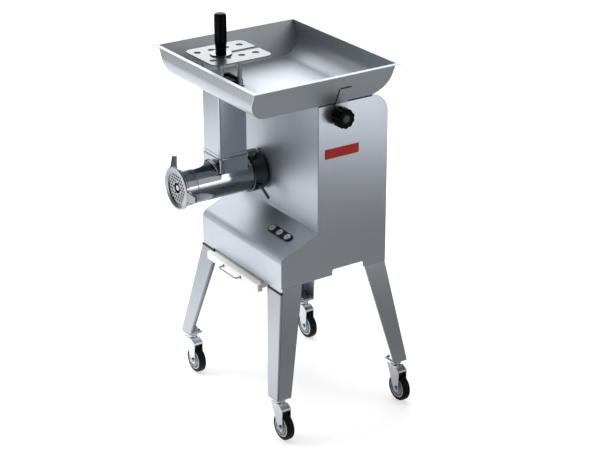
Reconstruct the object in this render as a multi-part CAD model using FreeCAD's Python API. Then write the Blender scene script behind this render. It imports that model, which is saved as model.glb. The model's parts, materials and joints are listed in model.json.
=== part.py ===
import FreeCAD, Part
import math
import os

Vector = FreeCAD.Vector

# Machine axes while modelling: X to the machine's right, Y from the column's front face to the rear, Z up.
# At the end every piece moves so that the origin is the middle of the footprint, on the floor.

# Castors
wheel_diameter = 80.0
tyre_width = 23.0
tyre_depth = 10.0
tyre_edge_radius = 6.0
wheel_boss_diameter = 24.0
wheel_web_width = 12.0
axle_diameter = 8.0
axle_head_diameter = 15.0
axle_head_height = 5.0
castor_trail = 22.0
fork_gap = 26.0
fork_sheet = 2.0
fork_end_radius = 13.0
fork_reach_back = 22.0
fork_shoulder = 16.0
fork_shoulder_drop = 11.0
crown_above_wheel = 26.5
kingpin_diameter = 10.0
kingpin_head_diameter = 16.0
kingpin_head_height = 4.0
raceway_diameter = 32.0
raceway_height = 14.2
castor_plate_size = 50.0
castor_plate_thickness = 3.0
castor_bolt_diameter = 5.0
castor_bolt_head_diameter = 9.2
castor_bolt_head_height = 3.5
castor_bolt_spacing = 30.0

# Legs, folded from sheet and splayed
leg_height = 306.0
leg_splay_side = 56.0
leg_splay_front = 52.0
leg_splay_rear = 46.0
leg_sheet = 3.0
leg_face_width_top = 74.0
leg_face_width_foot = 50.0
leg_side_width_top = 71.0
leg_side_width_foot = 48.0
leg_return_top = 7.0
leg_return_foot = 5.0
leg_foot_thickness = 4.0
leg_top_plate_size = 64.0
leg_top_plate_thickness = 4.0
skirt_to_leg_gap = 4.0

# Housing of folded sheet: a hood in front of a column
sheet = 1.5
housing_width = 419.0
hood_depth = 122.0
column_depth = 231.0
column_height = 507.0
hood_front_rise = 88.0
hood_rear_rise = 141.0
hood_nose_radius = 25.0
hood_root_radius = 6.0
column_edge_radius = 3.0
rear_top_radius = 58.0
front_skirt = 12.0
skirt_notch_half_width = 150.0
skirt_notch_height = 5.0
cover_joint_y = 120.0
side_notch_front = 49.0
side_notch_length = 104.0
side_notch_height = 17.0
side_notch_radius = 5.0
panel_flange_width = 18.0
panel_flange_margin = 40.0
base_plate_rise = 20.0
base_plate_thickness = 4.0

# Rear cover screws and louvres
cover_screw_diameter = 5.0
cover_screw_head_diameter = 9.0
cover_screw_head_height = 2.5
cover_screw_rows = 4
louvre_width = 150.0
louvre_height = 5.0
louvre_pitch = 14.0
louvre_rows = 7
louvre_bottom_rise = 60.0

# Feed tray
tray_depth = 449.0
tray_height = 92.0
tray_floor_half_width = 210.0
tray_side_spread = 42.0
tray_bottom_radius = 60.0
tray_rim = 12.0
tray_sheet = 1.5

# Feed duct and head position
head_x = -85.0
head_rise = 237.0
duct_y = -114.5
duct_width = 90.0
duct_length = 90.0
duct_sheet = 2.0

# Grinder head
barrel_diameter = 108.0
barrel_bore = 92.0
neck_diameter = 102.0
head_rear_y = -12.0
head_rear_wall = 12.0
inlet_width = 96.0
inlet_length = 93.0
inlet_wall = 6.0
inlet_top_rise = 74.0
inlet_collar = 2.0
inlet_collar_height = 9.0
inlet_corner_radius = 6.0
plate_seat_depth = 16.0

# Hole plate, knife and ring nut
ring_front_y = -277.5
ring_length = 42.5
ring_diameter = 125.0
ring_flange_length = 10.0
ring_body_diameter = 112.0
ring_lip = 5.0
ring_opening = 92.0
ring_chamfer = 2.5
ring_edge_radius = 3.0
lug_height = 29.0
lug_width = 32.0
lug_tip_width = 20.0
lug_length = 8.0
lug_lean = 15.0
lug_angles = (105.0, -5.0)
plate_diameter = 97.6
plate_thickness = 10.0
plate_hole_diameter = 6.4
plate_hole_pitch = 10.0
plate_hole_margin = 0.8
plate_recess_diameter = 31.0
plate_recess_depth = 3.0
knife_diameter = 94.0
knife_thickness = 11.0
knife_arm_width = 17.0
knife_boss_diameter = 34.0
knife_arms = 4

# Auger
auger_diameter = 90.0
auger_core_diameter = 38.0
auger_pitch = 52.0
auger_flight_thickness = 9.0
auger_square = 16.0
auger_pin_diameter = 15.0
drive_square = 18.0
drive_square_depth = 20.0

# Clamp hub and its two levers
hub_flange_diameter = 92.0
hub_collar_diameter = 120.0
hub_collar_length = 40.0
hub_spigot_diameter = 80.0
hub_shaft_hole = 44.0
lever_boss_diameter = 18.0
lever_boss_height = 3.0
lever_screw_diameter = 10.0
lever_rod_diameter = 9.0
lever_collar_height = 4.0
lever_collar_diameter = 15.0
lever_angles = {"clamp_lever_upper": 60.0, "clamp_lever_lower": -30.0}
lever_reaches = {"clamp_lever_upper": 94.0, "clamp_lever_lower": 109.0}

# Gear train: motor pinion to layshaft gear, layshaft pinion to output gear
gearbox_gap = 6.5
gearbox_wall = 14.0
gearbox_cavity = 40.0
gearbox_side_wall = 8.0
gear_side_gap = 2.5
gear_tip_gap = 3.0
output_module = 2.5
output_teeth = 50
layshaft_pinion_teeth = 18
output_gear_width = 19.0
input_module = 2.0
layshaft_teeth = 54
motor_pinion_teeth = 18
input_gear_width = 12.0
layshaft_angle = -22.0
motor_angle = -34.0
tooth_backlash = 0.12
output_shaft_diameter = 34.0
layshaft_diameter = 20.0
motor_shaft_diameter = 24.0
bearing_width = 12.0
bearing_wall = 9.0

# Motor and the frame under it
motor_diameter = 160.0
motor_length = 146.0
motor_wall = 10.0
rotor_diameter = 96.0
rotor_length = 76.0
rotor_gap = 0.8
fan_diameter = 118.0
fan_width = 12.0
fan_hub_diameter = 40.0
fan_blades = 8
fan_blade_thickness = 3.0
saddle_width = 150.0
saddle_plate = 8.0
saddle_foot_height = 6.0
saddle_inset = 22.0

# Control bezel and push buttons
bezel_length = 107.0
bezel_width = 27.0
bezel_thickness = 4.0
bezel_x = 107.0
bezel_y = -57.0
button_pitch = 38.0
button_diameter = 20.0
button_proud = 3.0
button_travel = 2.5
button_depth = 9.0
button_sleeve_wall = 2.2

# Guard plate, its posts and the pusher
guard_width = 168.0
guard_length = 188.0
guard_centre_y = -98.0
guard_rise = 87.5
guard_thickness = 3.0
guard_corner_radius = 22.0
guard_hole_diameter = 20.0
guard_hole_column = 42.5
guard_hole_row = 45.0
guard_hole_shift = -4.0
guard_post_diameter = 13.0
guard_post_side = 53.0
guard_post_spacing = 59.0
guard_post_y = -125.0
pusher_y = -122.0
pusher_rod_diameter = 14.0
pusher_slot_gap = 1.5
pusher_disc_diameter = 62.0
pusher_disc_thickness = 4.0
pusher_handle_diameter = 34.0
pusher_handle_length = 112.0
pusher_waist_diameter = 30.0
pusher_spigot_length = 40.0
pusher_foot_gap = 3.0
pusher_foot_height = 50.0
pusher_foot_proud = 20.0

# Tray bracket and clamping knob on the right side
bracket_sheet = 2.5
bracket_front_y = 53.0
bracket_width = 41.0
bracket_drop = 58.0
bracket_climb = 46.0
knob_y = 63.0
knob_drop = 36.0
knob_diameter = 56.0
knob_length = 34.0
knob_flutes = 10
knob_flute_radius = 7.0
knob_flute_depth = 2.6
knob_collar_diameter = 26.0
knob_collar_length = 5.0
knob_insert_diameter = 16.0
knob_insert_depth = 3.0
knob_stud_diameter = 10.0
knob_stud_length = 20.0

# Pull-out board, its rails and handle
board_thickness = 22.0
board_x = -12.5
board_width = 246.0
board_depth = 300.0
board_bar_width = 279.0
board_bar_depth = 16.0
board_bar_reach = 23.0
board_edge_radius = 4.0
rail_sheet = 2.0
rail_lip = 14.0
rail_front_y = -96.0
rail_length = 300.0
board_handle_x = -12.0
board_handle_width = 96.0
board_handle_reach = 19.0
board_handle_wire = 5.0
board_handle_bend = 8.0

# Red plate and cable gland
name_plate_front_y = 21.0
name_plate_length = 112.0
name_plate_height = 28.0
name_plate_rise = 351.0
name_plate_thickness = 0.8
gland_x = -150.0
gland_rise = 63.0
gland_bore = 10.0
gland_thread_diameter = 20.0
gland_thread_length = 9.0
gland_hex_diameter = 28.0
gland_hex_height = 6.0
gland_dome_diameter = 22.0
gland_dome_length = 14.0

# Clearances
seat_gap = 0.05
running_gap = 0.05
bolt_gap = 0.2
slide_gap = 0.3
clear_gap = 0.5


# Levels and places worked out from the sizes above
axle_z = wheel_diameter / 2
crown_bottom = wheel_diameter + crown_above_wheel
crown_top = crown_bottom + fork_sheet
raceway_bottom = crown_top + slide_gap
castor_plate_bottom = raceway_bottom + raceway_height
castor_top = castor_plate_bottom + castor_plate_thickness
housing_bottom = castor_top + leg_height
skirt_bottom = housing_bottom - front_skirt
column_top = housing_bottom + column_height
base_plate_bottom = housing_bottom + base_plate_rise
base_plate_top = base_plate_bottom + base_plate_thickness
half_width = housing_width / 2
inner_half = half_width - sheet
head_z = housing_bottom + head_rise
inlet_top = head_z + inlet_top_rise
gearbox_front = sheet + gearbox_gap
cavity_front = gearbox_front + gearbox_wall
cavity_rear = cavity_front + gearbox_cavity
gearbox_rear = cavity_rear + gearbox_wall
motor_rear = gearbox_rear + motor_length
tray_top = column_top + tray_height
tray_floor_top = column_top + tray_sheet
tray_half_depth = tray_depth / 2
tray_top_half_width = tray_floor_half_width + tray_side_spread
guard_bottom = column_top + guard_rise
guard_top = guard_bottom + guard_thickness
hood_angle = math.degrees(math.atan2(hood_rear_rise - hood_front_rise, hood_depth))
plate_front_y = ring_front_y + ring_lip
plate_rear_y = plate_front_y + plate_thickness
knife_front_y = plate_rear_y + slide_gap
knife_rear_y = knife_front_y + knife_thickness
head_front_y = plate_front_y + 0.6 * plate_thickness
auger_front_y = knife_rear_y
auger_rear_y = head_rear_y - head_rear_wall - clear_gap
board_top = skirt_bottom - slide_gap
board_bottom = board_top - board_thickness
board_front_y = -hood_depth - board_bar_reach

# Footprint, for the origin
leg_axis_side = half_width + leg_splay_side - leg_face_width_foot / 2
leg_axis_front = -hood_depth - leg_splay_front + leg_side_width_foot / 2
leg_axis_rear = column_depth + leg_splay_rear - leg_side_width_foot / 2
reach_right = leg_axis_side + castor_trail + wheel_diameter / 2
reach_left = max(tray_top_half_width + tray_rim, leg_axis_side + castor_plate_size / 2)
reach_front = -ring_front_y
reach_rear = leg_axis_rear + castor_plate_size / 2
origin = Vector((reach_right - reach_left) / 2, (reach_rear - reach_front) / 2, 0)

corners = {
    "front_left": (-1, -1),
    "front_right": (1, -1),
    "rear_left": (-1, 1),
    "rear_right": (1, 1),
}


# Plane outlines and solids
def to_space(axis, u, v, w):
    if axis == "x":
        return Vector(w, u, v)
    if axis == "y":
        return Vector(u, w, v)
    return Vector(u, v, w)


def unit(dx, dy):
    length = math.hypot(dx, dy)
    return dx / length, dy / length


def corner_arc(before, at, after, radius):
    ax, ay = unit(before[0] - at[0], before[1] - at[1])
    bx, by = unit(after[0] - at[0], after[1] - at[1])
    half = math.acos(max(-1.0, min(1.0, ax * bx + ay * by))) / 2
    along = radius / math.tan(half)
    mx, my = unit(ax + bx, ay + by)
    reach = radius / math.sin(half) - radius
    start = (at[0] + ax * along, at[1] + ay * along)
    middle = (at[0] + mx * reach, at[1] + my * reach)
    end = (at[0] + bx * along, at[1] + by * along)
    return start, middle, end


def outline(points, radii, axis, w):
    count = len(points)
    stops = []
    for i, point in enumerate(points):
        if radii[i] > 0:
            stops.append(corner_arc(points[i - 1], point, points[(i + 1) % count], radii[i]))
        else:
            stops.append((point, None, point))
    edges = []
    for i, (start, middle, end) in enumerate(stops):
        if middle:
            ends = [to_space(axis, p[0], p[1], w) for p in (start, middle, end)]
            edges.append(Part.Arc(*ends).toShape())
        a = to_space(axis, end[0], end[1], w)
        b = to_space(axis, *stops[(i + 1) % count][0], w)
        if a.distanceToPoint(b) > 1e-6:
            edges.append(Part.makeLine(a, b))
    return Part.Wire(edges)


def prism(points, radius, axis, low, high):
    radii = radius if isinstance(radius, (list, tuple)) else [radius] * len(points)
    face = Part.Face(outline(points, radii, axis, low))
    return face.extrude(to_space(axis, 0, 0, high - low))


def rectangle(u_low, u_high, v_low, v_high):
    return [(u_low, v_low), (u_high, v_low), (u_high, v_high), (u_low, v_high)]


def box(x_low, x_high, y_low, y_high, z_low, z_high):
    return Part.makeBox(x_high - x_low, y_high - y_low, z_high - z_low, Vector(x_low, y_low, z_low))


def rod(axis, centre, diameter, low, high):
    start = to_space(axis, centre[0], centre[1], low)
    return Part.makeCylinder(diameter / 2, high - low, start, to_space(axis, 0, 0, 1))


def ring(axis, centre, outer, inner, low, high):
    return rod(axis, centre, outer, low, high).cut(rod(axis, centre, inner, low, high))


def hexagon(axis, centre, across, low, high):
    points = []
    for i in range(6):
        angle = math.radians(60 * i + 30)
        points.append((centre[0] + across / 2 * math.cos(angle), centre[1] + across / 2 * math.sin(angle)))
    return prism(points, 0, axis, low, high)


def union(shapes):
    return shapes[0].multiFuse(shapes[1:]).removeSplitter()


def cut_all(shape, tools):
    return shape.cut(Part.makeCompound(tools))


def folded_strip(path, radii, thickness):
    # closed outline of a bent sheet: the path, then the same path moved to its left by the thickness
    normals = []
    for a, b in zip(path, path[1:]):
        dx, dy = unit(b[0] - a[0], b[1] - a[1])
        normals.append((-dy, dx))
    moved = []
    for i, point in enumerate(path):
        n1 = normals[max(i - 1, 0)]
        n2 = normals[min(i, len(normals) - 1)]
        scale = thickness / (1 + n1[0] * n2[0] + n1[1] * n2[1])
        moved.append((point[0] + (n1[0] + n2[0]) * scale, point[1] + (n1[1] + n2[1]) * scale))
    moved_radii = []
    for i in range(len(path)):
        if radii[i] == 0:
            moved_radii.append(0)
            continue
        turn = normals[i - 1][0] * normals[i][1] - normals[i - 1][1] * normals[i][0]
        moved_radii.append(radii[i] - math.copysign(thickness, turn))
    return path + moved[::-1], list(radii) + moved_radii[::-1]


pieces = {}


# Housing
sleeve_diameter = button_diameter + 2 * slide_gap + 2 * button_sleeve_wall
hood_path = [
    (cover_joint_y, column_top),
    (0, column_top),
    (0, housing_bottom + hood_rear_rise),
    (-hood_depth, housing_bottom + hood_front_rise),
    (-hood_depth, skirt_bottom),
]
hood_radii = [0, column_edge_radius, hood_root_radius, hood_nose_radius, 0]
rear_path = [(column_depth, housing_bottom), (column_depth, column_top), (cover_joint_y, column_top)]
rear_radii = [0, rear_top_radius, 0]


def button_places():
    places = {}
    for i, name in enumerate(("start_button", "stop_button", "reverse_button")):
        places[name] = bezel_x + (i - 1) * button_pitch
    return places


def on_hood(shape):
    # local X across, local Y up the slope, local Z out of the hood's face
    rise = hood_front_rise + (bezel_y + hood_depth) * math.tan(math.radians(hood_angle))
    spot = Vector(0, bezel_y, housing_bottom + rise)
    shape.Placement = FreeCAD.Placement(spot, FreeCAD.Rotation(Vector(1, 0, 0), hood_angle))
    return shape


def front_cover():
    points, radii = folded_strip(hood_path, hood_radii, sheet)
    cover = prism(points, radii, "x", -inner_half, inner_half)
    holes = [rod("y", (head_x, head_z), hub_spigot_diameter + 2 * bolt_gap, -sheet, 2 * sheet)]
    notch_top = skirt_bottom + skirt_notch_height
    notch_bottom = skirt_bottom - skirt_notch_height
    notch = rectangle(-skirt_notch_half_width, skirt_notch_half_width, notch_bottom, notch_top)
    holes.append(prism(notch, 0.6 * skirt_notch_height, "y", -hood_depth - 1, -hood_depth + 2 * sheet))
    for x in button_places().values():
        holes.append(on_hood(rod("z", (x, 0), sleeve_diameter + 2 * bolt_gap, -2 * sheet, sheet)))
    return cut_all(cover, holes)


def screw_places():
    low = housing_bottom + panel_flange_margin
    high = column_top - rear_top_radius - panel_flange_margin
    step = (high - low) / (cover_screw_rows - 1)
    side = inner_half - panel_flange_width / 2
    return [(sign * side, low + i * step) for sign in (-1, 1) for i in range(cover_screw_rows)]


def rear_cover():
    points, radii = folded_strip(rear_path, rear_radii, sheet)
    cover = prism(points, radii, "x", -inner_half, inner_half)
    inside = column_depth - 2 * sheet
    outside = column_depth + sheet
    holes = [rod("y", at, cover_screw_diameter + 2 * bolt_gap, inside, outside) for at in screw_places()]
    gland_place = (gland_x, housing_bottom + gland_rise)
    holes.append(rod("y", gland_place, gland_thread_diameter + 2 * bolt_gap, inside, outside))
    for i in range(louvre_rows):
        low = housing_bottom + louvre_bottom_rise + i * louvre_pitch
        slot = rectangle(-louvre_width / 2, louvre_width / 2, low, low + louvre_height)
        holes.append(prism(slot, 0.45 * louvre_height, "y", inside, outside))
    return cut_all(cover, holes)


def side_panel(side):
    points = [
        (-hood_depth, housing_bottom),
        (side_notch_front, housing_bottom),
        (side_notch_front, housing_bottom + side_notch_height),
        (side_notch_front + side_notch_length, housing_bottom + side_notch_height),
        (side_notch_front + side_notch_length, housing_bottom),
        (column_depth, housing_bottom),
        (column_depth, column_top),
        (0, column_top),
        (0, housing_bottom + hood_rear_rise),
        (-hood_depth, housing_bottom + hood_front_rise),
    ]
    notch = side_notch_radius
    radii = [0, 0, notch, notch, 0, 0, rear_top_radius]
    radii += [column_edge_radius, hood_root_radius, hood_nose_radius]
    low, high = sorted((side * inner_half, side * half_width))
    panel = prism(points, radii, "x", low, high)
    flange_low, flange_high = sorted((side * (inner_half - panel_flange_width), side * inner_half))
    rear = column_depth - sheet
    bottom = base_plate_top
    top = column_top - rear_top_radius - panel_flange_margin / 2
    flange = box(flange_low, flange_high, rear - sheet, rear, bottom, top)
    # the flange is folded from the panel, so it runs into the panel's thickness
    fold_low, fold_high = sorted((side * (inner_half - sheet), side * half_width))
    fold = box(fold_low, fold_high, rear - sheet, rear, bottom, top)
    panel = union([panel, flange, fold])
    holes = []
    for at in screw_places():
        holes.append(rod("y", at, cover_screw_diameter + 2 * bolt_gap, rear - 2 * sheet, rear + sheet))
    if side > 0:
        hole = knob_stud_diameter + 2 * clear_gap
        holes.append(rod("x", (knob_y, knob_z), hole, inner_half - 1, half_width + 1))
    return cut_all(panel, holes)


def cover_screws():
    screws = []
    for at in screw_places():
        head = rod("y", at, cover_screw_head_diameter, column_depth, column_depth + cover_screw_head_height)
        shank = rod("y", at, cover_screw_diameter, column_depth - 4 * sheet, column_depth)
        screws.append(head.fuse(shank).removeSplitter())
    return Part.makeCompound(screws)


def base_plate():
    front = -hood_depth + sheet
    rear = column_depth - sheet
    return box(-inner_half, inner_half, front, rear, base_plate_bottom, base_plate_top)


# Legs and castors
def leg_corner(side, end):
    if end < 0:
        return side * half_width, -hood_depth, leg_splay_front
    return side * half_width, column_depth, leg_splay_rear


def leg_section(side, end, at_foot):
    x, y, splay = leg_corner(side, end)
    if at_foot:
        x += side * leg_splay_side
        y += end * splay
        face, flank, back = leg_face_width_foot, leg_side_width_foot, leg_return_foot
        z = castor_top
    else:
        face, flank, back = leg_face_width_top, leg_side_width_top, leg_return_top
        z = housing_bottom
    t = leg_sheet
    inward = [
        (0, 0), (face, 0), (face, back), (face - t, back), (face - t, t),
        (t, t), (t, flank - t), (back, flank - t), (back, flank), (0, flank),
    ]
    points = [Vector(x - side * a, y - end * b, z) for a, b in inward]
    return Part.makePolygon(points + points[:1])


def inward_box(side, end, a_low, a_high, b_low, b_high, z_low, z_high):
    # a runs inward from the side panel's face, b inward from the front or rear face
    x, y, _ = leg_corner(side, end)
    xs = sorted((x - side * a_low, x - side * a_high))
    ys = sorted((y - end * b_low, y - end * b_high))
    return box(*xs, *ys, z_low, z_high)


def castor_axis(side, end):
    return side * leg_axis_side, leg_axis_front if end < 0 else leg_axis_rear


def castor_bolt_places(side, end):
    x, y = castor_axis(side, end)
    reach = castor_bolt_spacing / 2
    return [(x + i * reach, y + j * reach) for i in (-1, 1) for j in (-1, 1)]


def leg(side, end):
    shell = Part.makeLoft([leg_section(side, end, False), leg_section(side, end, True)], True, True)
    if end < 0:
        top = skirt_bottom - skirt_to_leg_gap
        shell = shell.cut(inward_box(side, end, -leg_sheet, leg_face_width_top + leg_sheet,
                                     -hood_depth / 4, sheet, top, housing_bottom + 1))
    lap = 2 * leg_sheet
    tab_low = housing_bottom - lap
    t = leg_sheet
    flank_tab = inward_box(side, end, sheet, sheet + t, sheet, leg_side_width_top, tab_low, base_plate_bottom)
    face_tab = inward_box(side, end, sheet, leg_face_width_top, sheet, sheet + t, tab_low, base_plate_bottom)
    plate_low = base_plate_bottom - leg_top_plate_thickness
    reach = leg_top_plate_size
    top_plate = inward_box(side, end, sheet, reach, sheet, reach, plate_low, base_plate_bottom)
    x, y = castor_axis(side, end)
    half_x = leg_face_width_foot / 2 - leg_sheet / 2
    half_y = leg_side_width_foot / 2 - leg_sheet / 2
    foot = box(x - half_x, x + half_x, y - half_y, y + half_y, castor_top, castor_top + leg_foot_thickness)
    whole = union([shell, flank_tab, face_tab, top_plate, foot])
    hole = castor_bolt_diameter + 2 * bolt_gap
    top = castor_top + leg_foot_thickness + 1
    return cut_all(whole, [rod("z", at, hole, castor_top - 1, top) for at in castor_bolt_places(side, end)])


def castor_plate(side, end):
    x, y = castor_axis(side, end)
    half = castor_plate_size / 2
    plate = prism(rectangle(x - half, x + half, y - half, y + half), 5, "z", castor_plate_bottom, castor_top)
    raceway = rod("z", (x, y), raceway_diameter, raceway_bottom, castor_plate_bottom)
    head_top = crown_bottom - slide_gap
    kingpin = rod("z", (x, y), kingpin_diameter, head_top, raceway_bottom)
    head = rod("z", (x, y), kingpin_head_diameter, head_top - kingpin_head_height, head_top)
    whole = union([plate, raceway, kingpin, head])
    hole = castor_bolt_diameter + 2 * bolt_gap
    low = castor_plate_bottom - 1
    return cut_all(whole, [rod("z", at, hole, low, castor_top + 1) for at in castor_bolt_places(side, end)])


def castor_bolts():
    bolts = []
    nut_low = castor_top + leg_foot_thickness
    height = castor_bolt_head_height
    width = castor_bolt_head_diameter
    for side, end in corners.values():
        for at in castor_bolt_places(side, end):
            head = hexagon("z", at, width, castor_plate_bottom - height, castor_plate_bottom)
            shank = rod("z", at, castor_bolt_diameter, castor_plate_bottom, nut_low)
            nut = hexagon("z", at, width, nut_low, nut_low + height)
            bolts.append(union([head, shank, nut]))
    return Part.makeCompound(bolts)


def castor_fork(side, end):
    x, y = castor_axis(side, end)
    wheel_x = x + castor_trail
    front = wheel_x + fork_end_radius
    end_low = axle_z - fork_end_radius
    bend = [
        (front, crown_top - fork_shoulder_drop),
        (x + fork_shoulder, crown_top),
        (x - fork_reach_back, crown_top),
    ]
    points = bend + [(wheel_x - fork_end_radius, end_low), (front, end_low)]
    round_end = 0.9 * fork_end_radius
    inner = fork_gap / 2
    outer = inner + fork_sheet
    parts = []
    for low, high in ((-outer, -inner), (inner, outer)):
        parts.append(prism(points, [0, 0, 0, round_end, round_end], "y", y + low, y + high))
    crown, _ = folded_strip(bend, [0, 0, 0], fork_sheet)
    parts.append(prism(crown, 0, "y", y - outer, y + outer))
    fork = union(parts)
    axle_hole = rod("y", (wheel_x, axle_z), axle_diameter + 2 * bolt_gap, y - outer - 1, y + outer + 1)
    kingpin_hole = rod("z", (x, y), kingpin_diameter + 2 * running_gap, crown_bottom - 1, crown_top + 1)
    fork = cut_all(fork, [axle_hole, kingpin_hole])
    axle = rod("y", (wheel_x, axle_z), axle_diameter, y - outer, y + outer)
    heads = []
    for low, high in ((-outer - axle_head_height, -outer), (outer, outer + axle_head_height)):
        heads.append(hexagon("y", (wheel_x, axle_z), axle_head_diameter, y + low, y + high))
    return Part.makeCompound([fork, union([axle] + heads)])


def castor_wheel(side, end):
    x, y = castor_axis(side, end)
    at = (x + castor_trail, axle_z)
    rim = wheel_diameter - 2 * tyre_depth
    half = tyre_width / 2 - 1
    boss_half = fork_gap / 2 - clear_gap
    wheel = rod("y", at, rim, y - half, y + half)
    dish = (tyre_width - wheel_web_width) / 2
    for low, high in ((y - half, y - half + dish), (y + half - dish, y + half)):
        wheel = wheel.cut(ring("y", at, rim - 10, wheel_boss_diameter, low, high))
    wheel = wheel.fuse(rod("y", at, wheel_boss_diameter, y - boss_half, y + boss_half)).removeSplitter()
    return wheel.cut(rod("y", at, axle_diameter + 2 * running_gap, y - boss_half - 1, y + boss_half + 1))


def castor_tyre(side, end):
    x, y = castor_axis(side, end)
    at = (x + castor_trail, axle_z)
    half = tyre_width / 2
    tyre = rod("y", at, wheel_diameter, y - half, y + half)
    tyre = tyre.makeFillet(tyre_edge_radius, [e for e in tyre.Edges if e.Closed])
    hole = wheel_diameter - 2 * tyre_depth + 2 * seat_gap
    return tyre.cut(rod("y", at, hole, y - half - 1, y + half + 1))


# Feed tray, duct and tray clamp
def tray_block(inset, low, high):
    depth = tray_half_depth - inset
    profile = [(-depth, low), (depth, low), (depth, high), (-depth, high)]
    bend = tray_bottom_radius - inset
    reach = tray_top_half_width + tray_rim
    block = prism(profile, [bend, bend, 0, 0], "x", -reach, reach)
    slope = tray_side_spread / tray_height
    lean = inset * math.hypot(1, slope)
    foot = tray_floor_half_width - lean + slope * (low - column_top)
    head = tray_floor_half_width - lean + slope * (high - column_top)
    sides = [(-foot, low), (foot, low), (head, high), (-head, high)]
    return block.common(prism(sides, 0, "y", -tray_half_depth, tray_half_depth))


def feed_tray():
    shell = tray_block(0, column_top, tray_top)
    rim_x = tray_top_half_width + tray_rim
    rim_y = tray_half_depth + tray_rim
    rim = prism(rectangle(-rim_x, rim_x, -rim_y, rim_y), 4, "z", tray_top - tray_sheet, tray_top)
    shell = union([shell, rim])
    hollow = tray_block(tray_sheet, tray_floor_top, tray_top + 2 * tray_sheet)
    return shell.cut(hollow).cut(duct_core(column_top - 1, tray_floor_top + 1))


def duct_core(low, high):
    half_x = duct_width / 2 - duct_sheet
    half_y = duct_length / 2 - duct_sheet
    inside = rectangle(head_x - half_x, head_x + half_x, duct_y - half_y, duct_y + half_y)
    return prism(inside, 4, "z", low, high)


def feed_duct():
    half_x = duct_width / 2
    half_y = duct_length / 2
    outside = rectangle(head_x - half_x, head_x + half_x, duct_y - half_y, duct_y + half_y)
    tube = prism(outside, 4 + duct_sheet, "z", inlet_top, column_top)
    return tube.cut(duct_core(inlet_top - 1, column_top + 1))


knob_z = column_top - knob_drop


def tray_bracket():
    slope = tray_side_spread / tray_height
    # the strip lies on the panel below the tray's edge and on the leaning side plate above it
    kink_z = column_top - (tray_floor_half_width - half_width) / slope
    top_z = column_top + bracket_climb
    path = [
        (half_width, column_top - bracket_drop),
        (half_width, kink_z),
        (tray_floor_half_width + slope * bracket_climb, top_z),
    ]
    points, radii = folded_strip(path[::-1], [0, 0, 0], bracket_sheet)
    strip = prism(points, radii, "y", bracket_front_y, bracket_front_y + bracket_width)
    hole = knob_stud_diameter + 2 * running_gap
    return strip.cut(rod("x", (knob_y, knob_z), hole, half_width - 1, half_width + bracket_sheet + 1))


def tray_knob():
    at = (knob_y, knob_z)
    seat = half_width + bracket_sheet + slide_gap
    grip_low = seat + knob_collar_length
    grip_high = grip_low + knob_length
    grip = rod("x", at, knob_diameter, grip_low, grip_high)
    grip = grip.makeFillet(3, [e for e in grip.Edges if e.Closed])
    reach = knob_diameter / 2 + knob_flute_radius - knob_flute_depth
    flutes = []
    for i in range(knob_flutes):
        angle = 2 * math.pi * i / knob_flutes
        spot = (knob_y + reach * math.cos(angle), knob_z + reach * math.sin(angle))
        flutes.append(rod("x", spot, 2 * knob_flute_radius, grip_low - 1, grip_high + 1))
    grip = cut_all(grip, flutes)
    collar = rod("x", at, knob_collar_diameter, seat, grip_low)
    stud = rod("x", at, knob_stud_diameter, inner_half - knob_stud_length, seat)
    insert = knob_insert_diameter
    recess = ring("x", at, insert + 6, insert, grip_high - knob_insert_depth, grip_high + 1)
    return union([grip, collar, stud]).cut(recess)


# Guard plate and pusher
def guard_plate():
    half_x = guard_width / 2
    half_y = guard_length / 2
    outside = rectangle(head_x - half_x, head_x + half_x, guard_centre_y - half_y, guard_centre_y + half_y)
    plate = prism(outside, guard_corner_radius, "z", guard_bottom, guard_top)
    slot = pusher_rod_diameter / 2 + pusher_slot_gap
    low = guard_bottom - 1
    high = guard_top + 1
    tools = [rod("z", (head_x, pusher_y), 2 * slot, low, high)]
    tools.append(box(head_x - slot, head_x + slot, pusher_y, guard_centre_y + half_y + 1, low, high))
    for i in (-1, 1):
        for j in (-1.5, -0.5, 0.5, 1.5):
            column = head_x + guard_hole_shift + i * guard_hole_column
            at = (column, guard_centre_y + guard_hole_shift + j * guard_hole_row)
            tools.append(rod("z", at, guard_hole_diameter, low, high))
    return cut_all(plate, tools)


def guard_posts():
    posts = []
    for i in (-1, 1):
        for j in (-0.5, 0.5):
            at = (head_x + i * guard_post_side, guard_post_y + j * guard_post_spacing)
            posts.append(rod("z", at, guard_post_diameter, tray_floor_top, guard_bottom))
    return Part.makeCompound(posts)


foot_top = column_top + pusher_foot_proud
disc_top = guard_top + pusher_disc_thickness


def pusher_rod():
    at = (head_x, pusher_y)
    stem = rod("z", at, pusher_rod_diameter, foot_top, disc_top + pusher_spigot_length)
    disc = rod("z", at, pusher_disc_diameter, guard_top, disc_top)
    disc = disc.makeFillet(pusher_disc_thickness / 3, [e for e in disc.Edges if e.Closed])
    return union([stem, disc])


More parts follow.
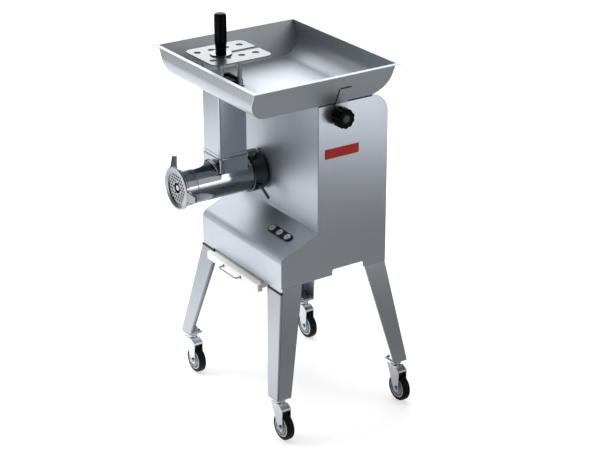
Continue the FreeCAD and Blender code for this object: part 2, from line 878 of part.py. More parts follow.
def pusher_handle():
    waist = pusher_waist_diameter / 2
    grip = pusher_handle_diameter / 2
    top = disc_top + pusher_handle_length
    crown = 0.4 * grip
    shoulder = 0.3 * pusher_handle_length
    start = Vector(0, 0, disc_top)
    belly = [Vector(waist, 0, disc_top), Vector(waist, 0, disc_top + shoulder / 2)]
    edges = [Part.makeLine(start, belly[0]), Part.makeLine(belly[0], belly[1])]
    shoulder_end = Vector(grip, 0, disc_top + shoulder)
    edges.append(Part.makeLine(belly[1], shoulder_end))
    crown_start = Vector(grip, 0, top - crown)
    edges.append(Part.makeLine(shoulder_end, crown_start))
    diagonal = crown * math.sqrt(0.5)
    crown_middle = Vector(grip - crown + diagonal, 0, top - crown + diagonal)
    crown_end = Vector(grip - crown, 0, top)
    edges.append(Part.Arc(crown_start, crown_middle, crown_end).toShape())
    edges.append(Part.makeLine(crown_end, Vector(0, 0, top)))
    edges.append(Part.makeLine(Vector(0, 0, top), start))
    body = Part.Face(Part.Wire(edges)).revolve(Vector(0, 0, 0), Vector(0, 0, 1), 360)
    body.translate(Vector(head_x, pusher_y, 0))
    hole = pusher_rod_diameter + 2 * seat_gap
    return body.cut(rod("z", (head_x, pusher_y), hole, disc_top - 1, disc_top + pusher_spigot_length))


def pusher_foot():
    half_x = duct_width / 2 - duct_sheet - pusher_foot_gap
    half_y = duct_length / 2 - duct_sheet - pusher_foot_gap
    block = rectangle(head_x - half_x, head_x + half_x, duct_y - half_y, duct_y + half_y)
    return prism(block, 6, "z", foot_top - pusher_foot_height, foot_top)


# Grinder head
head_at = (head_x, head_z)


def inlet_outline(grow):
    half_x = inlet_width / 2 + grow
    half_y = inlet_length / 2 + grow
    return rectangle(head_x - half_x, head_x + half_x, duct_y - half_y, duct_y + half_y)


def grinder_head():
    ring_rear = ring_front_y + ring_length
    barrel = rod("y", head_at, barrel_diameter, ring_rear + clear_gap, head_rear_y)
    neck = rod("y", head_at, neck_diameter, head_front_y, ring_rear + clear_gap)
    inlet = prism(inlet_outline(0), inlet_corner_radius, "z", head_z, inlet_top)
    collar_radius = inlet_corner_radius + inlet_collar
    band = prism(inlet_outline(inlet_collar), collar_radius, "z", inlet_top - inlet_collar_height, inlet_top)
    whole = union([barrel, neck, inlet, band])
    bore = rod("y", head_at, barrel_bore, head_front_y - 1, head_rear_y - head_rear_wall)
    seat = rod("y", head_at, plate_diameter + 2 * bolt_gap, head_front_y - 1, head_front_y + plate_seat_depth)
    mouth = prism(inlet_outline(-inlet_wall), inlet_corner_radius / 2, "z", head_z, inlet_top + 1)
    shaft_hole = output_shaft_diameter + 2 * clear_gap
    shaft = rod("y", head_at, shaft_hole, head_rear_y - head_rear_wall - 1, head_rear_y + 1)
    return cut_all(whole, [bore, seat, mouth, shaft])


def ring_nut():
    rear = ring_front_y + ring_length
    flange_rear = ring_front_y + ring_flange_length
    flange = rod("y", head_at, ring_diameter, ring_front_y, flange_rear)
    flange = flange.makeFillet(ring_edge_radius, [e for e in flange.Edges if e.Closed])
    body = rod("y", head_at, ring_body_diameter, flange_rear - ring_edge_radius - 1, rear)
    lugs = []
    inner = ring_diameter / 2 - ring_edge_radius - 4
    outer = ring_diameter / 2 + lug_height
    root = lug_width / 2
    tip = lug_tip_width / 2
    shape = [(inner, -root), (outer, -tip), (outer, tip), (inner, root)]
    lug_low = ring_front_y + 2
    for angle in lug_angles:
        lug = prism(shape, [0, 3, 3, 0], "y", lug_low, lug_low + lug_length)
        lug.rotate(Vector(ring_diameter / 2, lug_low, 0), Vector(0, 0, 1), lug_lean)
        lug.rotate(Vector(0, 0, 0), Vector(0, -1, 0), angle)
        lug.translate(Vector(head_x, 0, head_z))
        lugs.append(lug)
    nut = union([flange, body] + lugs)
    opening = rod("y", head_at, ring_opening, ring_front_y - 1, plate_front_y + 1)
    thread = rod("y", head_at, neck_diameter + 2 * running_gap, plate_front_y, rear + 1)
    wide = ring_diameter / 2 - 2 * ring_edge_radius
    at = to_space("y", *head_at, ring_front_y)
    mouth = Part.makeCone(wide, ring_opening / 2, ring_chamfer, at, Vector(0, 1, 0))
    return cut_all(nut, [opening, thread, mouth])


def hole_plate():
    plate = rod("y", head_at, plate_diameter, plate_front_y, plate_rear_y)
    rows = int(ring_opening / plate_hole_pitch) + 2
    limit = ring_opening / 2 - plate_hole_diameter / 2 - plate_hole_margin
    inner = plate_recess_diameter / 2 + plate_hole_diameter / 2 + 1
    tools = [rod("y", head_at, auger_pin_diameter + 2 * running_gap, plate_front_y - 1, plate_rear_y + 1)]
    tools.append(rod("y", head_at, plate_recess_diameter, plate_front_y - 1, plate_front_y + plate_recess_depth))
    for i in range(-rows, rows + 1):
        for j in range(-rows, rows + 1):
            x = plate_hole_pitch * (i + 0.5 * j)
            z = plate_hole_pitch * math.sqrt(0.75) * j
            if inner < math.hypot(x, z) < limit:
                at = (head_x + x, head_z + z)
                tools.append(rod("y", at, plate_hole_diameter, plate_front_y - 1, plate_rear_y + 1))
    return cut_all(plate, tools)


def square_bar(side, low, high):
    half = side / 2
    return box(head_x - half, head_x + half, low, high, head_z - half, head_z + half)


def knife():
    parts = [rod("y", head_at, knife_boss_diameter, knife_front_y, knife_rear_y)]
    tip = knife_diameter / 2
    half = knife_arm_width / 2
    for i in range(knife_arms):
        # each arm leans back from its cutting edge, which runs flat against the plate
        front = [(-half, knife_front_y), (half, knife_front_y)]
        back = [(half * 0.4, knife_rear_y), (-half, knife_rear_y)]
        arm = prism(front + back, 0, "z", 0, tip)
        arm.rotate(Vector(0, 0, 0), Vector(0, -1, 0), 360 * i / knife_arms)
        arm.translate(Vector(head_x, 0, head_z))
        parts.append(arm)
    cross = union(parts)
    return cross.cut(square_bar(auger_square + 2 * bolt_gap, knife_front_y - 1, knife_rear_y + 1))


def auger():
    length = auger_rear_y - auger_front_y
    core = rod("y", head_at, auger_core_diameter, auger_front_y, auger_rear_y)
    tongue = square_bar(auger_square, knife_front_y, auger_front_y)
    pin = rod("y", head_at, auger_pin_diameter, plate_front_y + 1, knife_front_y)
    root = auger_core_diameter / 2 - 3
    tip = auger_diameter / 2
    half = auger_flight_thickness / 2
    run = length - auger_flight_thickness
    helix = Part.makeHelix(auger_pitch, run, root)
    section = Part.makePolygon([
        Vector(root, 0, -half), Vector(tip, 0, -half * 0.6), Vector(tip, 0, half * 0.6),
        Vector(root, 0, half), Vector(root, 0, -half),
    ])
    flight = Part.Wire(helix.Edges).makePipeShell([section], True, True)
    flight.rotate(Vector(0, 0, 0), Vector(1, 0, 0), -90)
    flight.translate(Vector(head_x, auger_front_y + half, head_z))
    screw = core.fuse(flight).fuse(tongue).fuse(pin).removeSplitter()
    socket_low = auger_rear_y - drive_square_depth - clear_gap
    return screw.cut(square_bar(drive_square + 2 * bolt_gap, socket_low, auger_rear_y + 1))


# Clamp hub and levers
def clamp_hub():
    flange_front = head_rear_y
    collar_front = flange_front - hub_collar_length
    at = to_space("y", *head_at, flange_front)
    small = hub_flange_diameter / 2
    flange = Part.makeCone(hub_collar_diameter / 2, small, -flange_front, at, Vector(0, 1, 0))
    collar = rod("y", head_at, hub_collar_diameter, collar_front, flange_front)
    spigot = rod("y", head_at, hub_spigot_diameter, 0, gearbox_front)
    parts = [flange, collar, spigot]
    collar_radius = hub_collar_diameter / 2
    for angle in lever_angles.values():
        boss_top = collar_radius + lever_boss_height
        parts.append(lever_solid(lever_boss_diameter, 0.9 * collar_radius, boss_top, angle))
    hub = union(parts)
    bore = rod("y", head_at, barrel_diameter + 2 * seat_gap, collar_front - 1, flange_front)
    shaft = rod("y", head_at, hub_shaft_hole, flange_front - 1, gearbox_front + 1)
    tools = [bore, shaft]
    for angle in lever_angles.values():
        hole = lever_screw_diameter + 2 * running_gap
        tools.append(lever_solid(hole, 0.8 * collar_radius, 2 * collar_radius, angle))
    return cut_all(hub, tools)


def lever_solid(diameter, low, high, angle):
    # a round bar along a radius of the hub, half way along its collar
    bar = Part.makeCylinder(diameter / 2, high - low, Vector(low, 0, 0), Vector(1, 0, 0))
    bar.rotate(Vector(0, 0, 0), Vector(0, -1, 0), angle)
    bar.translate(Vector(head_x, head_rear_y - hub_collar_length / 2, head_z))
    return bar


def clamp_lever(angle, reach):
    collar_low = hub_collar_diameter / 2 + lever_boss_height + slide_gap
    collar_high = collar_low + lever_collar_height
    screw = lever_solid(lever_screw_diameter, barrel_diameter / 2 + slide_gap, collar_low, angle)
    collar = lever_solid(lever_collar_diameter, collar_low, collar_high, angle)
    bar = lever_solid(lever_rod_diameter, collar_high, reach, angle)
    return union([screw, collar, bar])


# Gear train and motor
layshaft_distance = output_module * (output_teeth + layshaft_pinion_teeth) / 2
motor_distance = input_module * (layshaft_teeth + motor_pinion_teeth) / 2


def from_axis(at, distance, angle):
    return at[0] + distance * math.cos(math.radians(angle)), at[1] + distance * math.sin(math.radians(angle))


layshaft_at = from_axis(head_at, layshaft_distance, layshaft_angle)
motor_at = from_axis(layshaft_at, motor_distance, motor_angle)


def gear(at, module, teeth, phase, low, high):
    # involute flanks at a pressure angle of 20 degrees, thinned by the backlash
    pressure = math.radians(20)
    pitch = module * teeth / 2
    base = pitch * math.cos(pressure)
    root = pitch - 1.25 * module
    outer = pitch + 0.95 * module
    half_pitch = math.pi / (2 * teeth) - tooth_backlash / (2 * pitch)
    offset = half_pitch + math.tan(pressure) - pressure
    start = max(base, root)
    flank = [(root, offset)] if root < base else []
    steps = 4
    for i in range(steps + 1):
        radius = start + (outer - start) * i / steps
        roll = math.acos(min(1.0, base / radius))
        flank.append((radius, offset - math.tan(roll) + roll))
    profile = [(r, -a) for r, a in flank] + [(r, a) for r, a in reversed(flank)]
    points = []
    for tooth in range(teeth):
        centre = math.radians(phase) + 2 * math.pi * tooth / teeth
        for radius, angle in profile:
            turn = centre + angle
            points.append((at[0] + radius * math.cos(turn), at[1] + radius * math.sin(turn)))
    return prism(points, 0, "y", low, high)


output_gear_low = cavity_front + gear_side_gap
output_gear_high = output_gear_low + output_gear_width
input_gear_low = output_gear_high + gear_side_gap
input_gear_high = input_gear_low + input_gear_width


def output_gear():
    wheel = gear(head_at, output_module, output_teeth, layshaft_angle, output_gear_low, output_gear_high)
    hole = output_shaft_diameter + 2 * seat_gap
    return wheel.cut(rod("y", head_at, hole, output_gear_low - 1, output_gear_high + 1))


def output_shaft():
    front = auger_rear_y
    shaft = rod("y", head_at, output_shaft_diameter, front, gearbox_rear - 2)
    tongue = square_bar(drive_square, front - drive_square_depth, front)
    return union([shaft, tongue])


def layshaft():
    shaft = rod("y", layshaft_at, layshaft_diameter, gearbox_front + 2, gearbox_rear - 2)
    teeth = layshaft_pinion_teeth
    pinion_phase = layshaft_angle + 180 + 180 / teeth
    pinion = gear(layshaft_at, output_module, teeth, pinion_phase, output_gear_low, output_gear_high)
    wheel = gear(layshaft_at, input_module, layshaft_teeth, motor_angle, input_gear_low, input_gear_high)
    return union([shaft, pinion, wheel])


rotor_low = gearbox_rear + 1.6 * motor_wall
fan_low = rotor_low + rotor_length + motor_wall


def motor_rotor():
    shaft = rod("y", motor_at, motor_shaft_diameter, gearbox_front + 2, motor_rear - 1)
    phase = motor_angle + 180 + 180 / motor_pinion_teeth
    pinion = gear(motor_at, input_module, motor_pinion_teeth, phase, input_gear_low, input_gear_high)
    core = rod("y", motor_at, rotor_diameter, rotor_low, rotor_low + rotor_length)
    return union([shaft, pinion, core])


def motor_fan():
    hub = rod("y", motor_at, fan_hub_diameter, fan_low, fan_low + fan_width)
    parts = [hub]
    half = fan_blade_thickness / 2
    for i in range(fan_blades):
        blade = box(fan_hub_diameter / 2 - 2, fan_diameter / 2, fan_low, fan_low + fan_width, -half, half)
        blade.rotate(Vector(0, 0, 0), Vector(0, -1, 0), 360 * i / fan_blades)
        blade.translate(Vector(motor_at[0], 0, motor_at[1]))
        parts.append(blade)
    hole = motor_shaft_diameter + 2 * seat_gap
    return union(parts).cut(rod("y", motor_at, hole, fan_low - 1, fan_low + fan_width + 1))


def motor_housing():
    shell = rod("y", motor_at, motor_diameter, gearbox_rear, motor_rear)
    front = gearbox_rear + motor_wall
    stator = rod("y", motor_at, rotor_diameter + 2 * rotor_gap, front, motor_rear - motor_wall)
    ends = []
    wide = motor_diameter - 2 * motor_wall
    ends.append(rod("y", motor_at, wide, front, rotor_low))
    ends.append(rod("y", motor_at, wide, rotor_low + rotor_length, motor_rear - motor_wall))
    shaft = rod("y", motor_at, motor_shaft_diameter + 2 * running_gap, gearbox_rear - 1, motor_rear + 1)
    return cut_all(shell, [stator, shaft] + ends)


def drive_stations():
    # each shaft's centre, the radius that its gears sweep and its diameter
    return [
        (head_at, output_module * (output_teeth / 2 + 1) + gear_tip_gap, output_shaft_diameter),
        (layshaft_at, input_module * (layshaft_teeth / 2 + 1) + gear_tip_gap, layshaft_diameter),
        (motor_at, input_module * (motor_pinion_teeth / 2 + 1) + 2 * gear_tip_gap, motor_shaft_diameter),
    ]


def bearing_pocket(at, shaft_diameter, low):
    return rod("y", at, shaft_diameter + 2 * bearing_wall + 2 * seat_gap, low, low + bearing_width)


def gearbox_block(low, high):
    wall = gearbox_side_wall
    return union([rod("y", at, 2 * (sweep + wall), low, high) for at, sweep, _ in drive_stations()])


def gearbox_case():
    case = gearbox_block(cavity_front, gearbox_rear)
    tools = [rod("y", at, 2 * sweep, cavity_front - 1, cavity_rear) for at, sweep, _ in drive_stations()]
    for at, _, shaft_diameter in drive_stations():
        tools.append(bearing_pocket(at, shaft_diameter, cavity_rear))
    passage = motor_shaft_diameter + 2 * clear_gap
    tools.append(rod("y", motor_at, passage, cavity_rear, gearbox_rear + 1))
    return cut_all(case, tools)


def gearbox_cover():
    cover = gearbox_block(gearbox_front, cavity_front)
    tools = []
    for at, _, shaft_diameter in drive_stations():
        tools.append(bearing_pocket(at, shaft_diameter, cavity_front - bearing_width))
    passage = output_shaft_diameter + 2 * clear_gap
    tools.append(rod("y", head_at, passage, gearbox_front - 1, cavity_front))
    return cut_all(cover, tools)


def bearings():
    rings = []
    for at, _, shaft_diameter in drive_stations():
        inner = shaft_diameter + 2 * running_gap
        outer = shaft_diameter + 2 * bearing_wall
        for low in (cavity_front - bearing_width, cavity_rear):
            rings.append(ring("y", at, outer, inner, low, low + bearing_width))
    return Part.makeCompound(rings)


def drive_frame():
    x, z = motor_at
    half = saddle_width / 2
    low = gearbox_rear + saddle_inset
    high = motor_rear - saddle_inset
    foot_top_z = base_plate_top + saddle_foot_height
    parts = [box(x - half, x + half, low, high, base_plate_top, foot_top_z)]
    for rib in (low, high - saddle_plate):
        parts.append(box(x - half, x + half, rib, rib + saddle_plate, base_plate_top, z - motor_diameter / 4))
    frame = union(parts)
    return frame.cut(rod("y", motor_at, motor_diameter + 2 * bolt_gap, low - 1, high + 1))


# Controls
def control_bezel():
    half = bezel_length / 2
    points = rectangle(bezel_x - half, bezel_x + half, -bezel_width / 2, bezel_width / 2)
    plate = prism(points, 0.499 * bezel_width, "z", 0, bezel_thickness)
    rim = [e for e in plate.Edges if e.CenterOfMass.z > bezel_thickness - 0.01]
    plate = plate.makeChamfer(bezel_thickness / 4, rim)
    pocket_low = -button_depth - button_travel - clear_gap
    sleeve_low = pocket_low - button_sleeve_wall
    places = button_places().values()
    sleeves = [rod("z", (x, 0), sleeve_diameter, sleeve_low, 0) for x in places]
    pocket = button_diameter + 2 * slide_gap
    pockets = [rod("z", (x, 0), pocket, pocket_low, bezel_thickness + 1) for x in places]
    return on_hood(cut_all(union([plate] + sleeves), pockets))


def push_button(x):
    top = bezel_thickness + button_proud
    cap = rod("z", (x, 0), button_diameter, -button_depth, top)
    rim = [e for e in cap.Edges if e.Closed and e.CenterOfMass.z > top - 0.01]
    return on_hood(cap.makeFillet(button_proud / 3, rim))


# Pull-out board
board_rear_y = board_front_y + board_bar_depth + board_depth


def pull_out_board():
    half = board_width / 2
    bar_half = board_bar_width / 2
    bar_rear = board_front_y + board_bar_depth
    outside = [
        (-bar_half, board_front_y), (bar_half, board_front_y), (bar_half, bar_rear), (half, bar_rear),
        (half, board_rear_y), (-half, board_rear_y), (-half, bar_rear), (-bar_half, bar_rear),
    ]
    outside = [(board_x + x, y) for x, y in outside]
    bar = board_edge_radius
    radii = [1.5 * bar, 1.5 * bar, bar, 0, bar, bar, 0, bar]
    board = prism(outside, radii, "z", board_bottom, board_top)
    wire = board_handle_wire + 2 * seat_gap
    z = board_bottom + board_thickness / 2
    depth = board_front_y + board_bar_depth / 2
    return cut_all(board, [rod("y", (x, z), wire, board_front_y - 1, depth) for x in handle_arms()])


def handle_arms():
    half = board_handle_width / 2 - board_handle_wire / 2
    return board_handle_x - half, board_handle_x + half


def board_handle():
    left, right = handle_arms()
    z = board_bottom + board_thickness / 2
    inner_y = board_front_y + board_bar_depth / 2
    outer_y = board_front_y - board_handle_reach + board_handle_wire / 2
    bend = board_handle_bend
    turn = bend * (1 - math.sqrt(0.5))
    stops = [
        Vector(left, inner_y, z),
        Vector(left, outer_y + bend, z),
        Vector(left + turn, outer_y + turn, z),
        Vector(left + bend, outer_y, z),
        Vector(right - bend, outer_y, z),
        Vector(right - turn, outer_y + turn, z),
        Vector(right, outer_y + bend, z),
        Vector(right, inner_y, z),
    ]
    path = Part.Wire([
        Part.makeLine(stops[0], stops[1]), Part.Arc(stops[1], stops[2], stops[3]).toShape(),
        Part.makeLine(stops[3], stops[4]), Part.Arc(stops[4], stops[5], stops[6]).toShape(),
        Part.makeLine(stops[6], stops[7]),
    ])
    circle = Part.Wire([Part.makeCircle(board_handle_wire / 2, stops[0], Vector(0, 1, 0))])
    return path.makePipeShell([circle], True, False)


def board_rails():
    rails = []
    for side in (-1, 1):
        web = board_width / 2 + clear_gap
        # a channel under the base plate with a lip under and a lip over the board's edge
        lip_in = board_width / 2 - rail_lip
        under = board_bottom - slide_gap
        over = board_top + slide_gap
        t = rail_sheet
        profile = [
            (web + t, under - t), (web + t, base_plate_bottom), (web, base_plate_bottom),
            (web, over + t), (lip_in, over + t), (lip_in, over), (web, over), (web, under),
            (lip_in, under), (lip_in, under - t),
        ]
        points = [(board_x + side * u, v) for u, v in profile]
        rails.append(prism(points, 0, "y", rail_front_y, rail_front_y + rail_length))
    return Part.makeCompound(rails)


# Red plate and cable gland on the panels
def name_plate():
    low = housing_bottom + name_plate_rise
    rear = name_plate_front_y + name_plate_length
    points = rectangle(name_plate_front_y, rear, low, low + name_plate_height)
    return prism(points, 2, "x", half_width, half_width + name_plate_thickness)


def cable_gland():
    at = (gland_x, housing_bottom + gland_rise)
    inside = column_depth - sheet
    outside = column_depth
    thread = rod("y", at, gland_thread_diameter, inside - gland_thread_length, outside)
    lock_nut = hexagon("y", at, gland_hex_diameter, inside - gland_hex_height, inside)
    base = hexagon("y", at, gland_hex_diameter, outside, outside + gland_hex_height)
    dome_high = outside + gland_hex_height + gland_dome_length
    dome = rod("y", at, gland_dome_diameter, outside + gland_hex_height, dome_high)
    dome = dome.makeFillet(4, [e for e in dome.Edges if e.Closed and e.CenterOfMass.y > dome_high - 0.01])
    whole = union([thread, lock_nut, base, dome])
    return whole.cut(rod("y", at, gland_bore, inside - gland_thread_length - 1, dome_high + 1))


pieces["side_panel_left"] = side_panel(-1)
pieces["side_panel_right"] = side_panel(1)
pieces["front_cover"] = front_cover()
pieces["rear_cover"] = rear_cover()
pieces["cover_screws"] = cover_screws()
pieces["base_plate"] = base_plate()
for name, (side, end) in corners.items():
    pieces["leg_" + name] = leg(side, end)
    pieces["castor_fork_" + name] = castor_fork(side, end)
    pieces["castor_wheel_" + name] = castor_wheel(side, end)
    pieces["castor_tyre_" + name] = castor_tyre(side, end)
pieces["castor_plates"] = Part.makeCompound([castor_plate(*place) for place in corners.values()])
pieces["castor_bolts"] = castor_bolts()
pieces["feed_tray"] = feed_tray()
pieces["feed_duct"] = feed_duct()
pieces["tray_bracket"] = tray_bracket()
pieces["tray_knob"] = tray_knob()
pieces["guard_plate"] = guard_plate()
pieces["guard_posts"] = guard_posts()
pieces["pusher_rod"] = pusher_rod()
pieces["pusher_handle"] = pusher_handle()
pieces["pusher_foot"] = pusher_foot()
pieces["grinder_head"] = grinder_head()
pieces["ring_nut"] = ring_nut()
pieces["hole_plate"] = hole_plate()
pieces["knife"] = knife()
pieces["auger"] = auger()
pieces["clamp_hub"] = clamp_hub()
for name, angle in lever_angles.items():
    pieces[name] = clamp_lever(angle, lever_reaches[name])
pieces["output_gear"] = output_gear()
pieces["output_shaft"] = output_shaft()
pieces["layshaft"] = layshaft()
pieces["motor_rotor"] = motor_rotor()
pieces["motor_fan"] = motor_fan()
pieces["motor_housing"] = motor_housing()
pieces["gearbox_case"] = gearbox_case()
pieces["gearbox_cover"] = gearbox_cover()
pieces["bearings"] = bearings()
pieces["drive_frame"] = drive_frame()
pieces["control_bezel"] = control_bezel()
for name, x in button_places().items():
    pieces[name] = push_button(x)
pieces["pull_out_board"] = pull_out_board()
pieces["board_handle"] = board_handle()
pieces["board_rails"] = board_rails()
pieces["name_plate"] = name_plate()
pieces["cable_gland"] = cable_gland()

os.makedirs("parts", exist_ok=True)
for name, shape in pieces.items():
    shape.translate(-origin)
    shape.exportStep("parts/" + name + ".step")
print(len(pieces), "pieces written")
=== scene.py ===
import json
import math
import bmesh
import bpy
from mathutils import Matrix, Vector


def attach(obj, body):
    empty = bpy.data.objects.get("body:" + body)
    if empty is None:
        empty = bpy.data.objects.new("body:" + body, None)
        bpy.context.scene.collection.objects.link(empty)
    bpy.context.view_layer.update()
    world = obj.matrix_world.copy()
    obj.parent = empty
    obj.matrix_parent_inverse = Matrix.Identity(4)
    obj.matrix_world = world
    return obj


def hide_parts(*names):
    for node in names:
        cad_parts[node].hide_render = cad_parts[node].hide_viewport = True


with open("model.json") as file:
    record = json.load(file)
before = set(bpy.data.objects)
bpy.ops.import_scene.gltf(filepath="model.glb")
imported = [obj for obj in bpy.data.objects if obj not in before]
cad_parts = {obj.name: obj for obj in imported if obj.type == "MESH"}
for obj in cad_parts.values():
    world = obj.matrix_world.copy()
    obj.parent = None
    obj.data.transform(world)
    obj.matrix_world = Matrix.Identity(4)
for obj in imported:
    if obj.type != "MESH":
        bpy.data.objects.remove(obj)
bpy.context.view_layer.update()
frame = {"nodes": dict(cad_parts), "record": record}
nodes = frame["nodes"]
bodyOf = {}
for body, names in frame["record"]["behaviour"]["bodies"].items():
    for name in names:
        bodyOf[name] = body
slotOf = {part["node"]: part["material_slot"] for part in frame["record"]["subparts"]}
shift = Vector((18.5, 0.25, 0.0))  # machine axes to the frame's origin, mm
weldGap = 0.000002  # corners closer than this become one, m
same = 0.01  # places closer than this count as one when picking, mm
sharpAngle = 32  # edges that turn more than this are broken, degrees
turnedAngle = 40  # edges of turned pieces that turn more than this stay sharp
sides = ((-1, "Left"), (1, "Right"))
print("frame loaded,", len(nodes), "nodes")


class Sizes(dict):
    # a piece's dictionary, read as piece.name
    __getattr__ = dict.__getitem__


def camel(text):
    first, *rest = text.split("_")
    return first + "".join(word.title() for word in rest)


# places: everything below is in machine millimetres until it is drawn
def spot(x, y, z):
    return (Vector((x, y, z)) - shift) / 1000


def onX(u, v, w):
    return spot(w, u, v)


def onY(u, v, w):
    return spot(u, w, v)


def onZ(u, v, w):
    return spot(u, v, w)


def rounded(points, radii, steps=5, closed=True):
    # an outline with its corners turned into arcs
    if not isinstance(radii, (list, tuple)):
        radii = [radii] * len(points)
    made = []
    for i, point in enumerate(points):
        at = Vector(point)
        ends = not closed and i in (0, len(points) - 1)
        if radii[i] <= 0 or ends:
            made.append(at)
            continue
        a = (Vector(points[i - 1]) - at).normalized()
        b = (Vector(points[(i + 1) % len(points)]) - at).normalized()
        half = a.angle(b) / 2
        middle = at + (a + b).normalized() * radii[i] / math.sin(half)
        first = at + a * radii[i] / math.tan(half) - middle
        last = at + b * radii[i] / math.tan(half) - middle
        sweep = math.atan2(first.x * last.y - first.y * last.x, first.dot(last))
        for k in range(steps + 1):
            t = sweep * k / steps
            x = first.x * math.cos(t) - first.y * math.sin(t)
            y = first.x * math.sin(t) + first.y * math.cos(t)
            made.append(middle + Vector((x, y)))
    return made


def oblong(uLow, uHigh, vLow, vHigh):
    return [(uLow, vLow), (uHigh, vLow), (uHigh, vHigh), (uLow, vHigh)]


def around(u, v, halfU, halfV):
    return oblong(u - halfU, u + halfU, v - halfV, v + halfV)


def circleOutline(u, v, radius, count=32):
    turns = [2 * math.pi * i / count for i in range(count)]
    return [Vector((u + radius * math.cos(t), v + radius * math.sin(t))) for t in turns]


def band(inner, outer, low, high):
    # closed profile of a plain ring
    return [(inner, low), (outer, low), (outer, high), (inner, high), (inner, low)]


def mirrored(half, middle):
    # closed profile, the same on both sides of its middle
    line = half + [(r, -h) for r, h in half[::-1]] + half[:1]
    return [(r, middle + h) for r, h in line]


# picking and drawing
def leaveEdit():
    bpy.ops.object.mode_set(mode="OBJECT")


def pickNone():
    if bpy.context.mode != "OBJECT":
        leaveEdit()
    bpy.ops.object.select_all(action="DESELECT")


def pickOnly(obj):
    pickNone()
    obj.select_set(True)
    bpy.context.view_layer.objects.active = obj


def pickAll():
    bpy.ops.mesh.select_all(action="SELECT")


def editPick(obj, kind, test):
    # picks edges by middle and run, or faces by middle and normal
    if bpy.context.mode != "EDIT_MESH":
        pickOnly(obj)
        bpy.ops.object.mode_set(mode="EDIT")
    bpy.ops.mesh.select_mode(type=kind)
    bpy.ops.mesh.select_all(action="DESELECT")
    bm = bmesh.from_edit_mesh(obj.data)
    if kind == "EDGE":
        for e in bm.edges:
            a, b = (v.co * 1000 + shift for v in e.verts)
            e.select_set(bool(test((a + b) / 2, b - a)))
    else:
        for f in bm.faces:
            f.select_set(bool(test(f.calc_center_median() * 1000 + shift, f.normal)))
    bmesh.update_edit_mesh(obj.data)


def pencil(name, points, closed=False):
    # a plane melted to one corner, then pulled from point to point
    pickNone()
    bpy.ops.mesh.primitive_plane_add(size=0.01, location=(0, 0, 0))
    obj = bpy.context.object
    obj.name = obj.data.name = name
    bpy.ops.object.mode_set(mode="EDIT")
    bpy.ops.mesh.select_mode(type="VERT")
    pickAll()
    bpy.ops.mesh.merge(type="CENTER")
    bpy.ops.transform.translate(value=points[0])
    for a, b in zip(points, points[1:]):
        bpy.ops.mesh.extrude_vertices_move(TRANSFORM_OT_translate={"value": b - a})
    pickAll()
    if closed:
        bpy.ops.mesh.edge_face_add()
    return obj


def outwards(obj):
    pickAll()
    bpy.ops.mesh.remove_doubles(threshold=weldGap)
    bpy.ops.mesh.normals_make_consistent(inside=False)
    leaveEdit()
    return obj


def slab(name, outline, place, low, high):
    # a flat outline pulled to a thickness
    obj = pencil(name, [place(u, v, low) for u, v in outline], True)
    pull = place(0, 0, high) - place(0, 0, low)
    bpy.ops.mesh.extrude_region_move(TRANSFORM_OT_translate={"value": pull})
    return outwards(obj)


def loft(name, rows, loop=False):
    # a sheet drawn row by row; each row is pulled from the last one
    obj = pencil(name, rows[0], loop)
    if loop:
        bpy.ops.mesh.delete(type="ONLY_FACE")
        pickAll()
    for last, here in zip(rows, rows[1:]):
        bpy.ops.mesh.extrude_edges_move()
        bm = bmesh.from_edit_mesh(obj.data)
        for v in [v for v in bm.verts if v.select]:
            v.co = here[min(range(len(last)), key=lambda k: (last[k] - v.co).length_squared)]
        bmesh.update_edit_mesh(obj.data)
    return outwards(obj)


def bentSheet(name, path, place, low, high):
    return loft(name, [[place(u, v, low), place(u, v, high)] for u, v in path])


def lathe(name, profile, start, axis, across, steps):
    # radius and height pairs spun round an axis
    axis, across = Vector(axis), Vector(across)
    obj = pencil(name, [start + (across * r + axis * h) / 1000 for r, h in profile])
    bpy.ops.mesh.spin(steps=steps, angle=2 * math.pi, center=start, axis=axis)
    return outwards(obj)


def latheX(name, profile, y, z, steps):
    return lathe(name, profile, spot(0, y, z), (1, 0, 0), (0, 1, 0), steps)


def latheY(name, profile, x, z, steps):
    return lathe(name, profile, spot(x, 0, z), (0, 1, 0), (1, 0, 0), steps)


def latheZ(name, profile, x, y, steps):
    return lathe(name, profile, spot(x, y, 0), (0, 0, 1), (1, 0, 0), steps)


def hexBar(name, place, u, v, across, low, high):
    turns = [math.radians(60 * i + 30) for i in range(6)]
    points = [(u + across / 2 * math.cos(t), v + across / 2 * math.sin(t)) for t in turns]
    return slab(name, points, place, low, high)


# finishing a mesh
def applyLast(obj, kind, **settings):
    pickOnly(obj)
    modifier = obj.modifiers.new(kind.lower(), kind)
    for key, value in settings.items():
        setattr(modifier, key, value)
    bpy.ops.object.modifier_apply(modifier=modifier.name)


def flip(obj):
    pickOnly(obj)
    bpy.ops.object.mode_set(mode="EDIT")
    pickAll()
    bpy.ops.mesh.flip_normals()
    leaveEdit()


def solidify(obj, thickness):
    applyLast(obj, "SOLIDIFY", thickness=thickness / 1000, offset=-1, use_even_offset=True)
    return obj


def thicken(obj, thickness, outward):
    # the largest face says which side of an open sheet is outside
    largest = max(obj.data.polygons, key=lambda p: p.area)
    if largest.normal.dot(Vector(outward)) < 0:
        flip(obj)
    return solidify(obj, thickness)


def bevelPicked(width, segments=3):
    bpy.ops.mesh.bevel(offset=width / 1000, offset_type="OFFSET", segments=segments, affect="EDGES")
    leaveEdit()


def smooth(obj, angle=sharpAngle):
    # large flat faces keep their own normal, so the broken edges take all the turn
    pickOnly(obj)
    bpy.ops.object.shade_smooth_by_angle(angle=math.radians(angle))
    applyLast(obj, "WEIGHTED_NORMAL", keep_sharp=True, weight=60)
    return obj


def turned(obj):
    return smooth(obj, turnedAngle)


